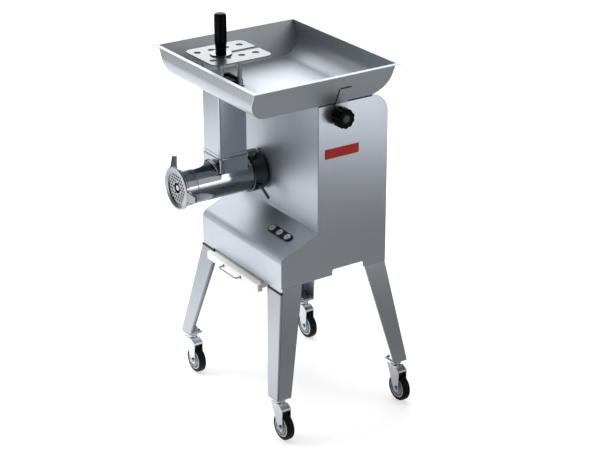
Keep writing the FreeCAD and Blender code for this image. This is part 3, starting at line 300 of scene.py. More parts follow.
def ease(obj, width, segments=2):
    # breaks the sharp edges
    applyLast(obj, "BEVEL", width=width / 1000, segments=segments, limit_method="ANGLE",
              angle_limit=math.radians(sharpAngle), miter_outer="MITER_ARC")
    return smooth(obj)


def cutWith(obj, cutters):
    for cutter in cutters:
        applyLast(obj, "BOOLEAN", object=cutter, operation="DIFFERENCE", solver="EXACT")
        bpy.data.objects.remove(cutter)


def joinAll(pieces):
    # into the first of them
    pickOnly(pieces[0])
    for piece in pieces[1:]:
        piece.select_set(True)
    bpy.ops.object.join()
    return pieces[0]


def copyTo(obj, name, offset):
    # a copy with its own mesh, moved by millimetres
    pickOnly(obj)
    bpy.ops.object.duplicate(linked=False)
    made = bpy.context.object
    made.name = made.data.name = name
    bpy.ops.transform.translate(value=Vector(offset) / 1000)
    bpy.ops.object.transform_apply(location=True, rotation=True, scale=True)
    return made


def wear(obj, finish):
    obj.data.materials.clear()
    obj.data.materials.append(finishes[finish])


def standFor(obj, finish, *names):
    wear(obj, finish)
    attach(obj, bodyOf[names[0]])
    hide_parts(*names)


def addOn(obj, finish, node):
    # a detail that moves with a node and stands for none
    wear(obj, finish)
    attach(obj, bodyOf[node])


# shader maths
class Wire:
    def __init__(self, tree, socket=None):
        self.tree = tree
        self.socket = socket

    def put(self, socket, value):
        if isinstance(value, Wire):
            self.tree.links.new(value.socket, socket)
        else:
            socket.default_value = value

    def add(self, kind, values, out=0, stops=(), **settings):
        node = self.tree.nodes.new("ShaderNode" + kind)
        for i, (place, tone) in enumerate(stops):
            ramp = node.color_ramp.elements
            stop = ramp[i] if i < 2 else ramp.new(place)
            stop.position = place
            stop.color = (*tone, 1)
        for key, value in settings.items():
            setattr(node, key, value)
        for key, value in values.items():
            self.put(node.inputs[key], value)
        return Wire(self.tree, node.outputs[out])

    def span(self, value, low, high, top=1.0):
        # eases from 0 at low to top at high
        values = {0: value, 1: low, 2: high, 3: 0.0, 4: top}
        return self.add("MapRange", values, interpolation_type="SMOOTHSTEP")

    def dot(self, a, b):
        return self.add("VectorMath", {0: a, 1: b}, 1, operation="DOT_PRODUCT")

    def calc(self, operation, a, b):
        return self.add("Math", {0: a, 1: b}, operation=operation)

    def __add__(self, other):
        return self.calc("ADD", self, other)

    def __mul__(self, other):
        return self.calc("MULTIPLY", self, other)

    def __rsub__(self, other):
        return self.calc("SUBTRACT", other, self)

    __radd__, __rmul__ = __add__, __mul__


def rgba(value):
    return (*value, 1) if isinstance(value, tuple) else value


def toned(tone, factor, lift=0.0):
    return tuple(min(1.0, t * factor + lift) for t in tone)


finishes = {}


class Finish(Wire):
    # a material with its object coordinates and the nodes most of them need
    def __init__(self, name):
        self.material = bpy.data.materials.new(name)
        self.material.use_nodes = True
        super().__init__(self.material.node_tree)
        self.shader = self.tree.nodes["Principled BSDF"]
        self.coords = self.add("TexCoord", {}, 3)
        finishes[name] = self.material

    def axis(self, number):
        return self.add("SeparateXYZ", {0: self.coords}, number)

    def grain(self, scale, detail=3.0, rough=0.6):
        stretched = self.add("Mapping", {"Vector": self.coords, "Scale": scale})
        values = {"Vector": stretched, "Scale": 1.0, "Detail": detail, "Roughness": rough}
        return self.add("TexNoise", values)

    def blotches(self, scale, detail, low, high):
        return self.span(self.grain((scale, scale, scale), detail), low, high)

    def blend(self, factor, a, b):
        return self.add("Mix", {0: factor, 6: rgba(a), 7: rgba(b)}, 2, data_type="RGBA")

    def feed(self, socket, value):
        self.put(self.shader.inputs[socket], rgba(value))

    def finish(self, colour, rough, height, strength, distance=0.0002, metal=0.0, gloss=0.5):
        self.feed("Base Color", colour)
        self.feed("Roughness", rough)
        self.feed("Metallic", metal)
        self.feed("Specular IOR Level", gloss)
        bump = {"Height": height, "Strength": strength, "Distance": distance}
        self.feed("Normal", self.add("Bump", bump))


def brushedSteel(name, fine, tone, rough, shine=1.0, rim=None):
    # satin sheet: hair lines along the low numbers of fine, wider bands and hand marks; given a rim height,
    # painted shade darkens the sheet at the top rim
    look = Finish(name)
    hair = look.grain(fine, 4.0, 0.7)
    bands = look.grain(tuple(f / 9 for f in fine), 2.0)
    marks = look.blotches(7, 4.0, 0.45, 0.75)
    sheet = look.blend(0.45 * hair + 0.55 * bands, toned(tone, 0.93), tone)
    if rim:
        # painted shade: the top rim is darkened to 0.7 of the tone
        sheet = look.blend(look.span(look.axis(2), rim - 0.0022, rim - 0.0012), sheet, toned(tone, 0.7))
    look.finish(sheet, rough - 0.02 + 0.04 * hair + 0.04 * marks, hair, 0.012, metal=shine)


def polishedSteel(name, lines, tone, rough):
    # turned and buffed: faint rings from the lathe and a few smears
    look = Finish(name)
    rings = look.grain(lines, 3.0, 0.7)
    smears = look.blotches(14, 5.0, 0.4, 0.8)
    colour = look.blend(rings, toned(tone, 0.93), tone)
    look.finish(colour, rough + 0.05 * rings + 0.07 * smears, rings, 0.04, metal=1.0)


def mouldedPlastic(name, tone, rough, pits=900.0, shade=1.25, gloss=0.4):
    # moulded skin: a fine orange peel, slightly worn
    look = Finish(name)
    peel = look.grain((pits, pits, pits), 2.0)
    worn = look.blotches(22, 4.0, 0.4, 0.7)
    colour = look.blend(worn, tone, toned(tone, shade, 0.004))
    look.finish(colour, rough + 0.1 * worn, peel, 0.06, gloss=gloss)


def paintedIron(name, tone, rough):
    # cast and painted: a lumpy skin under dust
    look = Finish(name)
    lump = look.grain((160, 160, 160), 4.0)
    dust = look.blotches(9, 5.0, 0.45, 0.8)
    colour = look.blend(dust, tone, toned(tone, 0.7, 0.06))
    look.finish(colour, rough + 0.15 * dust, lump, 0.25, 0.0004)


def groundPlate(name, tone, rough, face):
    # ground face with fine turning marks; painted shade darkens everything from just behind the face
    # inwards, the hole walls and what lies behind the plate
    look = Finish(name)
    marks = look.grain((500, 500, 500), 4.0, 0.7)
    inside = look.span(look.axis(1), face + 0.0003, face + 0.0018)
    metal = look.blend(marks, toned(tone, 0.9), tone)
    # painted shade: near black wherever the plate's holes and the parts behind them fall in shade
    colour = look.blend(inside, metal, (0.012, 0.012, 0.013))
    look.finish(colour, rough + 0.08 * marks + 0.3 * inside, marks, 0.03, metal=1.0)


def shadeEdgedSheet(name, fine, tone, rough, corner):
    # satin strip with painted shade: its front and top edges are painted near black
    look = Finish(name)
    hair = look.grain(fine, 4.0, 0.7)
    frontEdgeShade = look.span(look.axis(1), corner.y + 0.0012, corner.y + 0.0004)
    topEdge = look.span(look.axis(2), corner.z - 0.0014, corner.z - 0.0004)
    edge = look.calc("MAXIMUM", frontEdgeShade, topEdge)
    sheet = look.blend(hair, toned(tone, 0.93), tone)
    # painted shade: near-black colour along the front and top edges
    colour = look.blend(edge, sheet, (0.015, 0.015, 0.017))
    look.finish(colour, rough + 0.04 * hair + 0.1 * edge, hair, 0.012, metal=0.94)


def scoredShadedBoard(name, tone, rough, bar):
    # white block; its top, behind the front bar, has knife scoring and painted shade that greys it to about
    # 0.6 of the tone
    look = Finish(name)
    peel = look.grain((500, 500, 500), 2.0)
    worn = look.blotches(22, 4.0, 0.4, 0.7)
    cuts = look.span(look.grain((25, 700, 25), 4.0, 0.7), 0.52, 0.68)
    behind = look.span(look.axis(1), bar.y, bar.y + 0.004)
    scoredShadedTop = behind * look.span(look.axis(2), bar.z - 0.0012, bar.z - 0.0004)
    clean = look.blend(worn, tone, toned(tone, 1.02, 0.004))
    # painted shade with real scoring: the top is darkened to 0.54 to 0.62 of the tone, the knife cuts lying
    # between the two
    scoredShadedColour = look.blend(cuts, toned(tone, 0.62), toned(tone, 0.54))
    colour = look.blend(scoredShadedTop, clean, scoredShadedColour)
    look.finish(colour, rough + 0.1 * worn + 0.1 * scoredShadedTop, peel, 0.06, gloss=0.4)


steel = (0.56, 0.605, 0.66)
paleSteel = (0.545, 0.585, 0.625)
brushedSteel("frontSteel", (1300, 5, 5), steel, 0.43, 0.8)
brushedSteel("panelSteel", (5, 1300, 5), steel, 0.32, 0.9)
brushedSteel("baseSteel", (5, 1300, 5), steel, 0.34)
brushedSteel("legSteel", (700, 700, 4), (0.41, 0.437, 0.475), 0.3, 0.92)
brushedSteel("traySteel", (5, 1300, 260), paleSteel, 0.43, 0.94, spot(0, 0, 1031).z)
brushedSteel("ductSteel", (1200, 1200, 5), (0.49, 0.53, 0.58), 0.22)
brushedSteel("guardSteel", (900, 5, 5), (0.185, 0.195, 0.205), 0.3, 0.95)
shadeEdgedSheet("bracketSteel", (5, 1300, 20), paleSteel, 0.42, spot(0, 53, 985))
brushedSteel("railSteel", (900, 5, 900), (0.5, 0.52, 0.55), 0.35)
brushedSteel("wireSteel", (700, 700, 700), (0.36, 0.37, 0.39), 0.14)
brushedSteel("gearSteel", (600, 900, 600), (0.5, 0.5, 0.51), 0.3)
groundPlate("plateSteel", (0.34, 0.355, 0.37), 0.2, spot(0, -272.5, 0).y)
polishedSteel("headPolished", (12, 900, 12), (0.42, 0.445, 0.475), 0.05)
polishedSteel("ringPolished", (12, 900, 12), (0.36, 0.38, 0.405), 0.07)
polishedSteel("hubPolished", (12, 900, 12), (0.09, 0.095, 0.105), 0.1)
polishedSteel("leverChrome", (300, 300, 300), (0.16, 0.17, 0.18), 0.08)
polishedSteel("postChrome", (12, 12, 900), (0.64, 0.67, 0.69), 0.06)
polishedSteel("discChrome", (80, 80, 80), (0.2, 0.21, 0.22), 0.08)
polishedSteel("augerMetal", (60, 400, 60), (0.6, 0.6, 0.6), 0.3)
polishedSteel("zincSteel", (80, 80, 80), (0.60, 0.625, 0.65), 0.07)
polishedSteel("boltSteel", (200, 200, 200), (0.52, 0.54, 0.57), 0.2)
mouldedPlastic("handleBlack", (0.001, 0.001, 0.002), 0.26, gloss=0.07)
mouldedPlastic("knobBlack", (0.001, 0.001, 0.002), 0.32, gloss=0.06)
mouldedPlastic("footBlack", (0.002, 0.002, 0.003), 0.45, gloss=0.08)
mouldedPlastic("bezelBlack", (0.008, 0.008, 0.010), 0.35, gloss=0.3)
mouldedPlastic("buttonGrey", (0.42, 0.44, 0.47), 0.35, shade=1.08)
mouldedPlastic("ringGrey", (0.05, 0.052, 0.056), 0.3, shade=1.2)
mouldedPlastic("symbolBlack", (0.02, 0.02, 0.02), 0.45)
mouldedPlastic("wheelGrey", (0.58, 0.595, 0.615), 0.36, shade=1.06)
mouldedPlastic("tyreRubber", (0.003, 0.003, 0.004), 0.48, 600, 1.5, 0.14)
scoredShadedBoard("boardWhite", (0.93, 0.93, 0.91), 0.42, spot(0, -129, 419.7))
mouldedPlastic("plateRed", (0.55, 0.028, 0.024), 0.34, 500, 1.12, 0.2)
mouldedPlastic("glandBlack", (0.015, 0.015, 0.016), 0.45)
mouldedPlastic("sealBlack", (0.012, 0.012, 0.013), 0.4)
mouldedPlastic("fanPlastic", (0.03, 0.032, 0.036), 0.5)
paintedIron("caseIron", (0.12, 0.13, 0.14), 0.5)
paintedIron("motorPaint", (0.045, 0.08, 0.12), 0.42)
print("finishes made:", len(finishes))

# nodes that stay as they are wear the finish named after their slot, or one of these
slotFinish = {"housing_steel": "baseSteel", "fastener_steel": "boltSteel"}
for name, node in nodes.items():
    for i in range(len(node.data.materials)):
        node.data.materials[i] = finishes[slotFinish.get(slotOf[name], camel(slotOf[name]))]


# housing
housing = Sizes(half=209.5, sheet=1.5, bottom=432, skirt=420, top=939, front=-122, rear=231, noseZ=520,
                rootZ=573, noseRadius=25, rootRadius=6, edgeRadius=3, rearRadius=58, joint=120,
                foldEdge=1.3, notchFront=49, notchRear=153, notchTop=449, notchRadius=5,
                skirtNotch=150, skirtRise=5, skirtRadius=3, cutter=6)
hoodAngle = math.atan2(housing.rootZ - housing.noseZ, -housing.front)
controls = Sizes(x=107, y=-57, length=107, width=27, thickness=4, pitch=38, button=20, proud=3, stem=9,
                 play=0.3, hole=12.75, mark=0.35, cutter=30,
                 ringLine=[(10.3, 3.5), (12.9, 3.5), (12.7, 4.7), (12.1, 5.1), (10.9, 5.1), (10.3, 4.6),
                           (10.3, 3.5)])
buttonPlaces = [controls.x + i * controls.pitch for i in (-1, 0, 1)]


def onHood(u, v, w):
    # across, up the slope and out of the hood, from the bezel's middle line
    rise = housing.noseZ + (controls.y - housing.front) * math.tan(hoodAngle)
    y = controls.y + v * math.cos(hoodAngle) - w * math.sin(hoodAngle)
    return spot(u, y, rise + v * math.sin(hoodAngle) + w * math.cos(hoodAngle))


def latheHood(name, profile, x, steps):
    up = onHood(0, 0, 1) - onHood(0, 0, 0)
    return lathe(name, profile, onHood(x, 0, 0), up * 1000, (1, 0, 0), steps)


def makeFrontCover():
    h = housing
    inner = h.half - h.sheet
    corners = [(h.joint, h.top), (0, h.top), (0, h.rootZ), (h.front, h.noseZ), (h.front, h.skirt)]
    path = rounded(corners, [0, h.edgeRadius, h.rootRadius, h.noseRadius, 0], 8, False)
    cover = bentSheet("frontCover", path, onX, -inner, inner)
    thicken(cover, h.sheet, (0, -1, 0.3))
    notch = rounded(around(0, h.skirt, h.skirtNotch, h.skirtRise), h.skirtRadius)
    cutters = [slab("notchCutter", notch, onY, h.front - h.cutter, h.front + h.cutter)]
    for x in buttonPlaces:
        cutters.append(slab("holeCutter", circleOutline(x, 0, controls.hole), onHood, -h.cutter, h.cutter))
    cutWith(cover, cutters)
    standFor(ease(cover, 0.35), "frontSteel", "front_cover")


def makeSidePanel(side, node):
    h = housing
    points = [(h.front, h.bottom), (h.notchFront, h.bottom), (h.notchFront, h.notchTop),
              (h.notchRear, h.notchTop), (h.notchRear, h.bottom), (h.rear, h.bottom),
              (h.rear, h.top), (0, h.top), (0, h.rootZ), (h.front, h.noseZ)]
    radii = [0, 0, h.notchRadius, h.notchRadius, 0, 0, h.rearRadius, h.edgeRadius, h.rootRadius,
             h.noseRadius]
    outer = side * h.half
    low, high = sorted((side * (h.half - h.sheet), outer))
    panel = slab(camel(node), rounded(points, radii, 8), onX, low, high)
    editPick(panel, "EDGE", lambda m, run: abs(m.x - outer) < same and abs(run.x) < same)
    bevelPicked(h.foldEdge)
    standFor(smooth(panel), "panelSteel", node)


louvre = Sizes(width=150, low=492, pitch=14, rows=7, slot=5, corner=2.2, reach=4.5, overlap=2, lift=1,
               stretch=1.6, sheet=0.6, cutter=4)


def makeRearCover():
    h, n = housing, louvre
    inner = h.half - h.sheet
    corners = [(h.rear, h.bottom), (h.rear, h.top), (h.joint, h.top)]
    cover = bentSheet("rearCover", rounded(corners, [0, h.rearRadius, 0], 14, False), onX, -inner, inner)
    thicken(cover, h.sheet, (0, 1, 0.2))
    half = n.width / 2
    cutters = []
    for i in range(n.rows):
        low = n.low + i * n.pitch
        cut = rounded(oblong(-half, half, low, low + n.slot), n.corner)
        cutters.append(slab("louvreCutter", cut, onY, h.rear - n.cutter, h.rear + n.cutter))
    cutWith(cover, cutters)
    # one pressed hood: the upper outer quarter of a bar with round ends
    ends = rounded(around(0, 0, half + n.overlap, n.reach), n.reach - 0.1, 6)
    rows = []
    for k in range(7):
        t = math.pi / 2 * k / 6
        shrink = n.reach * (1 - math.cos(t))
        y = h.rear + n.reach * math.sin(t)
        rows.append([spot(math.copysign(max(abs(u) - shrink, 0), u), y,
                          n.low + n.lift + max(v * math.cos(t), 0) * n.stretch) for u,
                          v in ends if v > -0.2])
    hood = loft("louvreHood", rows)
    smooth(thicken(hood, n.sheet, (0, 0.7, 0.7)))
    hoods = [copyTo(hood, "louvreHood", (0, 0, i * n.pitch)) for i in range(n.rows)]
    bpy.data.objects.remove(hood)
    joinAll([cover] + hoods)
    standFor(ease(cover, 0.3), "frontSteel", "rear_cover")


trayShadowStrip = Sizes(inner=6, over=0.7, front=1.5, rear=2, drop=3.4, gap=0.1, edge=0.3)
columnShadowStrip = Sizes(inner=2.1, outer=0.6, front=-0.5, rear=1.2, foot=7, head=2)


def makeShadowStrips():
    # painted shadow: a dark strip under the tray's edge and one down each upright edge of the column stand
    # in for the shadow lines of those gaps
    h = housing
    for side, tail in sides:
        ends = sorted((side * (h.half - trayShadowStrip.inner), side * (h.half + trayShadowStrip.over)))
        outline = oblong(*ends, trayShadowStrip.front, h.rear - h.rearRadius + trayShadowStrip.rear)
        strip = slab("trayGasket" + tail, outline, onZ, h.top - trayShadowStrip.drop, h.top - trayShadowStrip.gap)
        ends = sorted((side * (h.half - columnShadowStrip.inner), side * (h.half - columnShadowStrip.outer)))
        outline = oblong(*ends, columnShadowStrip.front, columnShadowStrip.rear)
        line = slab("columnBead" + tail, outline, onZ, h.rootZ + columnShadowStrip.foot, h.top - columnShadowStrip.head)
        for piece in (strip, line):
            # painted shadow: these strips wear the black finish to show the gaps' shadow lines
            addOn(ease(piece, trayShadowStrip.edge), "sealBlack", "front_cover")


makeShadowStrips()
makeFrontCover()
makeSidePanel(-1, "side_panel_left")
makeSidePanel(1, "side_panel_right")
makeRearCover()
print("housing made")


# legs: one folded sheet each, tapered and splayed; pairs are at the top and at the foot
leg = Sizes(face=(74, 50), flank=(71, 48), lip=(7, 5), splaySide=56, splayFront=52, splayRear=46, sheet=3,
            foot=126, frontTop=416, bend=5, lipBend=3, plate=4, footX=23, footY=22, footCorner=3,
            capLow=448, capOut=1.5, capIn=64, capCorner=2)


def makeLeg(side, end, node):
    h, g = housing, leg
    edge, splay = (h.front, g.splayFront) if end < 0 else (h.rear, g.splayRear)
    rows = []
    for k, z in enumerate((h.bottom, g.foot)):
        x, y = side * (h.half + k * g.splaySide), edge + end * k * splay
        face, flank, lip = g.face[k], g.flank[k], g.lip[k]
        corners = [(face, lip), (face, 0), (0, 0), (0, flank), (lip, flank)]
        path = rounded(corners, [0, g.lipBend, g.bend, g.lipBend, 0], 4, False)
        rows.append([spot(x - side * a, y - end * b, z) for a, b in path])
    sheet = loft(camel(node), rows)
    if end < 0:
        # the front face stops under the skirt
        editPick(sheet, "FACE", lambda m, n: abs(n.y) > 0.5)
        bpy.ops.mesh.bisect(plane_co=spot(0, 0, g.frontTop), plane_no=(0, 0, 1), clear_outer=True)
        leaveEdit()
    thicken(sheet, g.sheet, (side, end, 0))
    x, y = side * (h.half + g.splaySide - g.face[1] / 2), edge + end * (splay - g.flank[1] / 2)
    outline = rounded(around(x, y, g.footX, g.footY), g.footCorner)
    foot = slab("legFoot", outline, onZ, g.foot, g.foot + g.plate)
    topX = sorted((side * (h.half - g.capOut), side * (h.half - g.capIn)))
    topY = sorted((edge - end * g.capOut, edge - end * g.capIn))
    cap = slab("legCap", rounded(oblong(*topX, *topY), g.capCorner), onZ, g.capLow, g.capLow + g.plate)
    joinAll([sheet, foot, cap])
    standFor(ease(sheet, 0.5), "legSteel", node)


skirtSeal = Sizes(inner=146, over=2.5, ahead=3.2, behind=6, corner=1.5, below=0.6, above=0.4)


def makeSkirtShadows():
    # painted shadow: dark strips in the gap between the skirt and the front legs stand in for its shadow
    # line
    h, s = housing, skirtSeal
    for side, tail in sides:
        ends = sorted((side * s.inner, side * (h.half + s.over)))
        outline = rounded(oblong(*ends, h.front - s.ahead, h.front + s.behind), s.corner)
        seal = slab("skirtSeal" + tail, outline, onZ, leg.frontTop - s.below, h.skirt + s.above)
        addOn(ease(seal, 0.8, 3), "sealBlack", "front_cover")


cornerSigns = {"front_left": (-1, -1), "front_right": (1, -1), "rear_left": (-1, 1), "rear_right": (1, 1)}
for corner, (side, end) in cornerSigns.items():
    makeLeg(side, end, "leg_" + corner)
makeSkirtShadows()
print("legs made")


# castors: one is modelled at the front left and copied to the other corners
castor = Sizes(x=-240.5, yFront=-150, yRear=253, trail=22, axle=40, gap=26, sheet=2, endRadius=13, back=22,
               shoulder=16, drop=11, crown=108.5, bend=4, cheekRows=[60, 80], webDrop=5,
               rod=4, rodEnd=5, nut=14, nutEnd=4.6, washer=7.4, washerEnd=1.2,
               plate=50, plateCorner=5, plateLow=123, plateHigh=126, pinNut=(16, 102.4, 106.2),
               seal=(23, 26), sealLow=10.3, sealHigh=10.9,
               wheelLine=[(4.2, 12.5), (7.5, 12.5), (8.2, 11.9), (12.2, 11.9), (13, 11), (13.4, 4.2),
                          (14, 3.4), (16.6, 3.4), (17, 4.6), (18.6, 4.6), (19, 3.4), (22.4, 3.4),
                          (23.2, 4.4), (24, 9.6), (24.8, 10.6), (29.2, 10.6), (30, 9.7)],
               tyreLine=[(30.05, 10.8), (33, 11.5), (40, 11.5), (40, -1)], tyreRadii=[0, 1, 6, 0],
               groove=[(40, 4.6), (39.1, 4.3), (39.1, 3.5), (40, 3.2)],
               raceLine=[(5, 108.8), (14.2, 108.8), (15.6, 109.6), (16, 111.2), (16, 113.8), (15, 114.8),
                         (13.4, 115.2), (13.4, 116.4), (15.2, 117), (16, 118.4), (16, 121), (15, 122.4),
                         (13, 123), (5, 123), (5, 108.8)])


def castorSheet(x, y):
    # the pressed fork: two cheeks and a crown from one strip, and the sloping front web
    c = castor
    out = c.gap / 2 + c.sheet
    wheelX = x + c.trail
    reach = (c.trail - c.endRadius + c.back) / (c.crown - c.axle)
    low = c.crown - c.drop

    def limits(z):
        if z < c.axle:
            half = math.sqrt(max(c.endRadius ** 2 - (c.axle - z) ** 2, 0.01))
            return wheelX - half, wheelX + half
        front = wheelX + c.endRadius
        if z > low:
            front -= (front - x - c.shoulder) * (z - low) / c.drop
        return wheelX - c.endRadius - reach * (z - c.axle), front

    arc = [c.axle - c.endRadius * math.cos(math.radians(t)) for t in (4, 18, 32, 46, 60, 75, 90)]
    cheek = [Vector((-out, z)) for z in arc + c.cheekRows + [low]]
    bend = rounded([(-out, low), (-out, c.crown), (0, c.crown)], [0, c.bend, 0], 5, False)[1:]
    path = cheek + bend + [Vector((-p.x, p.y)) for p in (cheek + bend)[-2::-1]]
    fork = loft("castorFork", [[spot(end, y + p.x, p.y) for end in limits(p.y)] for p in path])
    crownFace = max(fork.data.polygons, key=lambda p: p.center.z)
    if crownFace.normal.z < 0:
        flip(fork)
    solidify(fork, c.sheet)
    front = wheelX + c.endRadius
    web = rounded([(x + c.shoulder, c.crown), (front, low), (front, low - c.webDrop)], [0, 3, 0], 4, False)
    strip = bentSheet("castorWeb", web, onY, y - out + 0.3, y + out - 0.3)
    thicken(strip, c.sheet, (0.5, 0, 1))
    return ease(joinAll([fork, strip]), 0.5)


def castorAxle(x, y):
    c = castor
    out = c.gap / 2 + c.sheet
    at = (x + c.trail, c.axle)
    low, high = y - out - c.rodEnd, y + out + c.rodEnd
    pieces = [latheY("castorAxle", [(0, low), (c.rod - 0.6, low), (c.rod, low + 0.6), (c.rod, high - 0.6),
                                    (c.rod - 0.6, high), (0, high)], *at, 24)]
    for sign in (-1, 1):
        face, seat, tip = (y + sign * (out + d) for d in (0, c.washerEnd, c.nutEnd))
        pieces.append(hexBar("axleNut", onY, *at, c.nut, *sorted((seat, tip))))
        pieces.append(latheY("axleWasher", band(c.rod, c.washer, *sorted((face, seat))), *at, 32))
    return ease(joinAll(pieces), 0.4)


def castorWheel(x, y):
    c = castor
    return turned(latheY("castorWheel", mirrored(c.wheelLine, y), x + c.trail, c.axle, 72))


def castorSeal(x, y):
    # painted shadow: dark rings at the inner edge of the rim, one on each face, stand in for the shade of
    # the groove there
    c = castor
    rings = []
    for sign in (-1, 1):
        line = band(*c.seal, *sorted((y + sign * c.sealLow, y + sign * c.sealHigh)))
        rings.append(latheY("castorSeal", line, x + c.trail, c.axle, 72))
    return turned(joinAll(rings))


def castorTyre(x, y):
    c = castor
    outer = [tuple(p) for p in rounded(c.tyreLine, c.tyreRadii, 7, False)[:-1]]
    return turned(latheY("castorTyre", mirrored(outer + c.groove, y), x + c.trail, c.axle, 96))


def castorHead(x, y):
    # bolt plate, ball race and kingpin nut
    c = castor
    outline = rounded(around(x, y, c.plate / 2, c.plate / 2), c.plateCorner, 4)
    plate = slab("castorPlate", outline, onZ, c.plateLow, c.plateHigh)
    race = latheZ("castorRace", c.raceLine, x, y, 48)
    nut = hexBar("castorNut", onZ, x, y, *c.pinNut)
    return ease(joinAll([plate, race, nut]), 0.5)


bolt = Sizes(inset=15, across=9.2, headLow=119.5, headHigh=122.9, nutLow=130.05, nutHigh=133.4, radius=2.5,
             tip=135.2)


def castorBolts(x, y):
    b = bolt
    at = (x - b.inset, y - b.inset)
    one = hexBar("castorBolt", onZ, *at, b.across, b.headLow, b.headHigh)
    nut = hexBar("castorBoltNut", onZ, *at, b.across, b.nutLow, b.nutHigh)
    line = [(0, b.headHigh), (b.radius, b.headHigh), (b.radius, b.tip - 0.6), (b.radius - 0.5, b.tip),
            (0, b.tip)]
    ease(joinAll([one, nut, latheZ("castorBoltShank", line, *at, 16)]), 0.4)
    step = 2 * b.inset
    moves = ((step, 0, 0), (0, step, 0), (step, step, 0))
    return joinAll([one] + [copyTo(one, "castorBolt", move) for move in moves])


def makeCastors():
    c = castor
    first = (c.x, c.yFront)
    models = {
        "castorFork": (castorSheet(*first), "zincSteel", "castor_fork_", None),
        "castorAxle": (castorAxle(*first), "boltSteel", "castor_fork_", "fastener_steel"),
        "castorWheel": (castorWheel(*first), "wheelGrey", "castor_wheel_", None),
        # painted shadow rings on the wheel faces
        "castorSeal": (castorSeal(*first), "sealBlack", "castor_wheel_", "tyre_rubber"),
        "castorTyre": (castorTyre(*first), "tyreRubber", "castor_tyre_", None),
    }
    head, bolts = castorHead(*first), castorBolts(*first)
    heads, boltSets = [], []
    for corner, (side, end) in cornerSigns.items():
        offset = ((side + 1) * -c.x, 0 if end < 0 else c.yRear - c.yFront, 0)
        for name, (model, finish, node, slot) in models.items():
            made = copyTo(model, camel(name + "_" + corner), offset)
            if slot:
                addOn(made, finish, node + corner)
            else:
                standFor(made, finish, node + corner)
        heads.append(copyTo(head, "castorHeads", offset))
        boltSets.append(copyTo(bolts, "castorBolts", offset))
    for model in [row[0] for row in models.values()] + [head, bolts]:
        bpy.data.objects.remove(model)
    standFor(joinAll(heads), "zincSteel", "castor_plates")
    standFor(joinAll(boltSets), "boltSteel", "castor_bolts")


makeCastors()
print("castors made")


# feed tray, duct and tray clamp
tray = Sizes(floor=939, top=1031, half=210, spread=42, depth=224.5, bend=60, rim=12, sheet=1.5, weld=2.0,
             cutter=10)
duct = Sizes(x=-85, y=-114.5, half=45, wall=2, corner=6, low=743, seat=0.1, band=1.2, bandHeight=9)


def ductOutline(grow):
    half = duct.half + grow
    return rounded(around(duct.x, duct.y, half, half), duct.corner + grow)


def makeTray():
    t = tray
    lip = t.top - t.sheet

    def half(z):
        return t.half + t.spread * (z - t.floor) / (t.top - t.floor)

    corners = [(-t.depth, lip), (-t.depth, t.floor), (t.depth, t.floor), (t.depth, lip)]
    path = rounded(corners, [0, t.bend, t.bend, 0], 12, False)
    shell = loft("feedTray", [[spot(-half(v), u, v), spot(half(v), u, v)] for u, v in path])
    ends = [pencil("trayEnd", [spot(s * half(v), u, v) for u, v in path], True) for s in (-1, 1)]
    joinAll([shell] + ends)
    bpy.ops.object.mode_set(mode="EDIT")
    outwards(shell)
    # rim: the top edge pulled out to mitred corners
    editPick(shell, "EDGE", lambda m, run: m.z > lip - same)
    bpy.ops.mesh.extrude_edges_move()
    bm = bmesh.from_edit_mesh(shell.data)
    for v in [v for v in bm.verts if v.select]:
        at = v.co * 1000 + shift
        x = math.copysign(half(lip) + t.rim, at.x)
        y = math.copysign(t.depth + t.rim, at.y)
        v.co = spot(x, y, lip)
    bmesh.update_edit_mesh(shell.data)
    outwards(shell)
    # the welded corners between the bent floor and the side plates
    editPick(shell, "EDGE", lambda m, run: abs(abs(m.x) - half(m.z)) < 0.3 and m.z < lip - same
             and abs(run.y) + abs(run.z) > 0.5)
    bevelPicked(t.weld)
    thicken(shell, t.sheet, (0, 0, -1))
    cutWith(shell, [slab("trayMouth", ductOutline(-duct.wall), onZ, t.floor - t.cutter,
                         t.floor + t.cutter)])
    standFor(ease(shell, 0.4), "traySteel", "feed_tray")


def tube(name, outline, low, high, wall):
    made = slab(name, outline, onZ, low, high)
    editPick(made, "FACE", lambda m, n: abs(n.z) > 0.9)
    bpy.ops.mesh.delete(type="FACE")
    leaveEdit()
    return solidify(made, wall)


def makeDuct():
    d = duct
    low = d.low + d.seat
    body = tube("feedDuct", ductOutline(0), low, tray.floor, d.wall)
    collar = tube("ductBand", ductOutline(d.band), low, d.low + d.bandHeight, d.band)
    standFor(ease(joinAll([body, collar]), 0.4), "ductSteel", "feed_duct")


bracket = Sizes(front=53, width=41, low=881, kink=936.9, high=985, lean=21, skew=1.09, bend=8, sheet=2.5,
                corner=6)


def makeBracket():
    b = bracket
    x = housing.half + b.sheet
    points = [(x, b.low), (x, b.kink), (tray.half + b.lean + b.sheet * b.skew, b.high)]
    path = rounded(points, [0, b.bend, 0], 5, False)
    strip = bentSheet("trayBracket", path, onY, b.front, b.front + b.width)
    thicken(strip, b.sheet, (1, 0, 0))
    editPick(strip, "EDGE", lambda m, run: abs(run.y) < 0.1 and abs(run.length - b.sheet) < 0.2
             and min(abs(m.z - tip) for tip in (b.low, b.high)) < 2)
    bevelPicked(b.corner, 5)
    standFor(ease(strip, 0.5), "bracketSteel", "tray_bracket")


knob = Sizes(y=63, z=903, radius=28, flutes=10, depth=2.6, pinch=1.6, low=217.3, high=251.3, topEdge=4.5,
             lowEdge=2.0, border=4, dish=2.4, seat=212.3, collar=13, stud=5, studEnd=190, insert=8)


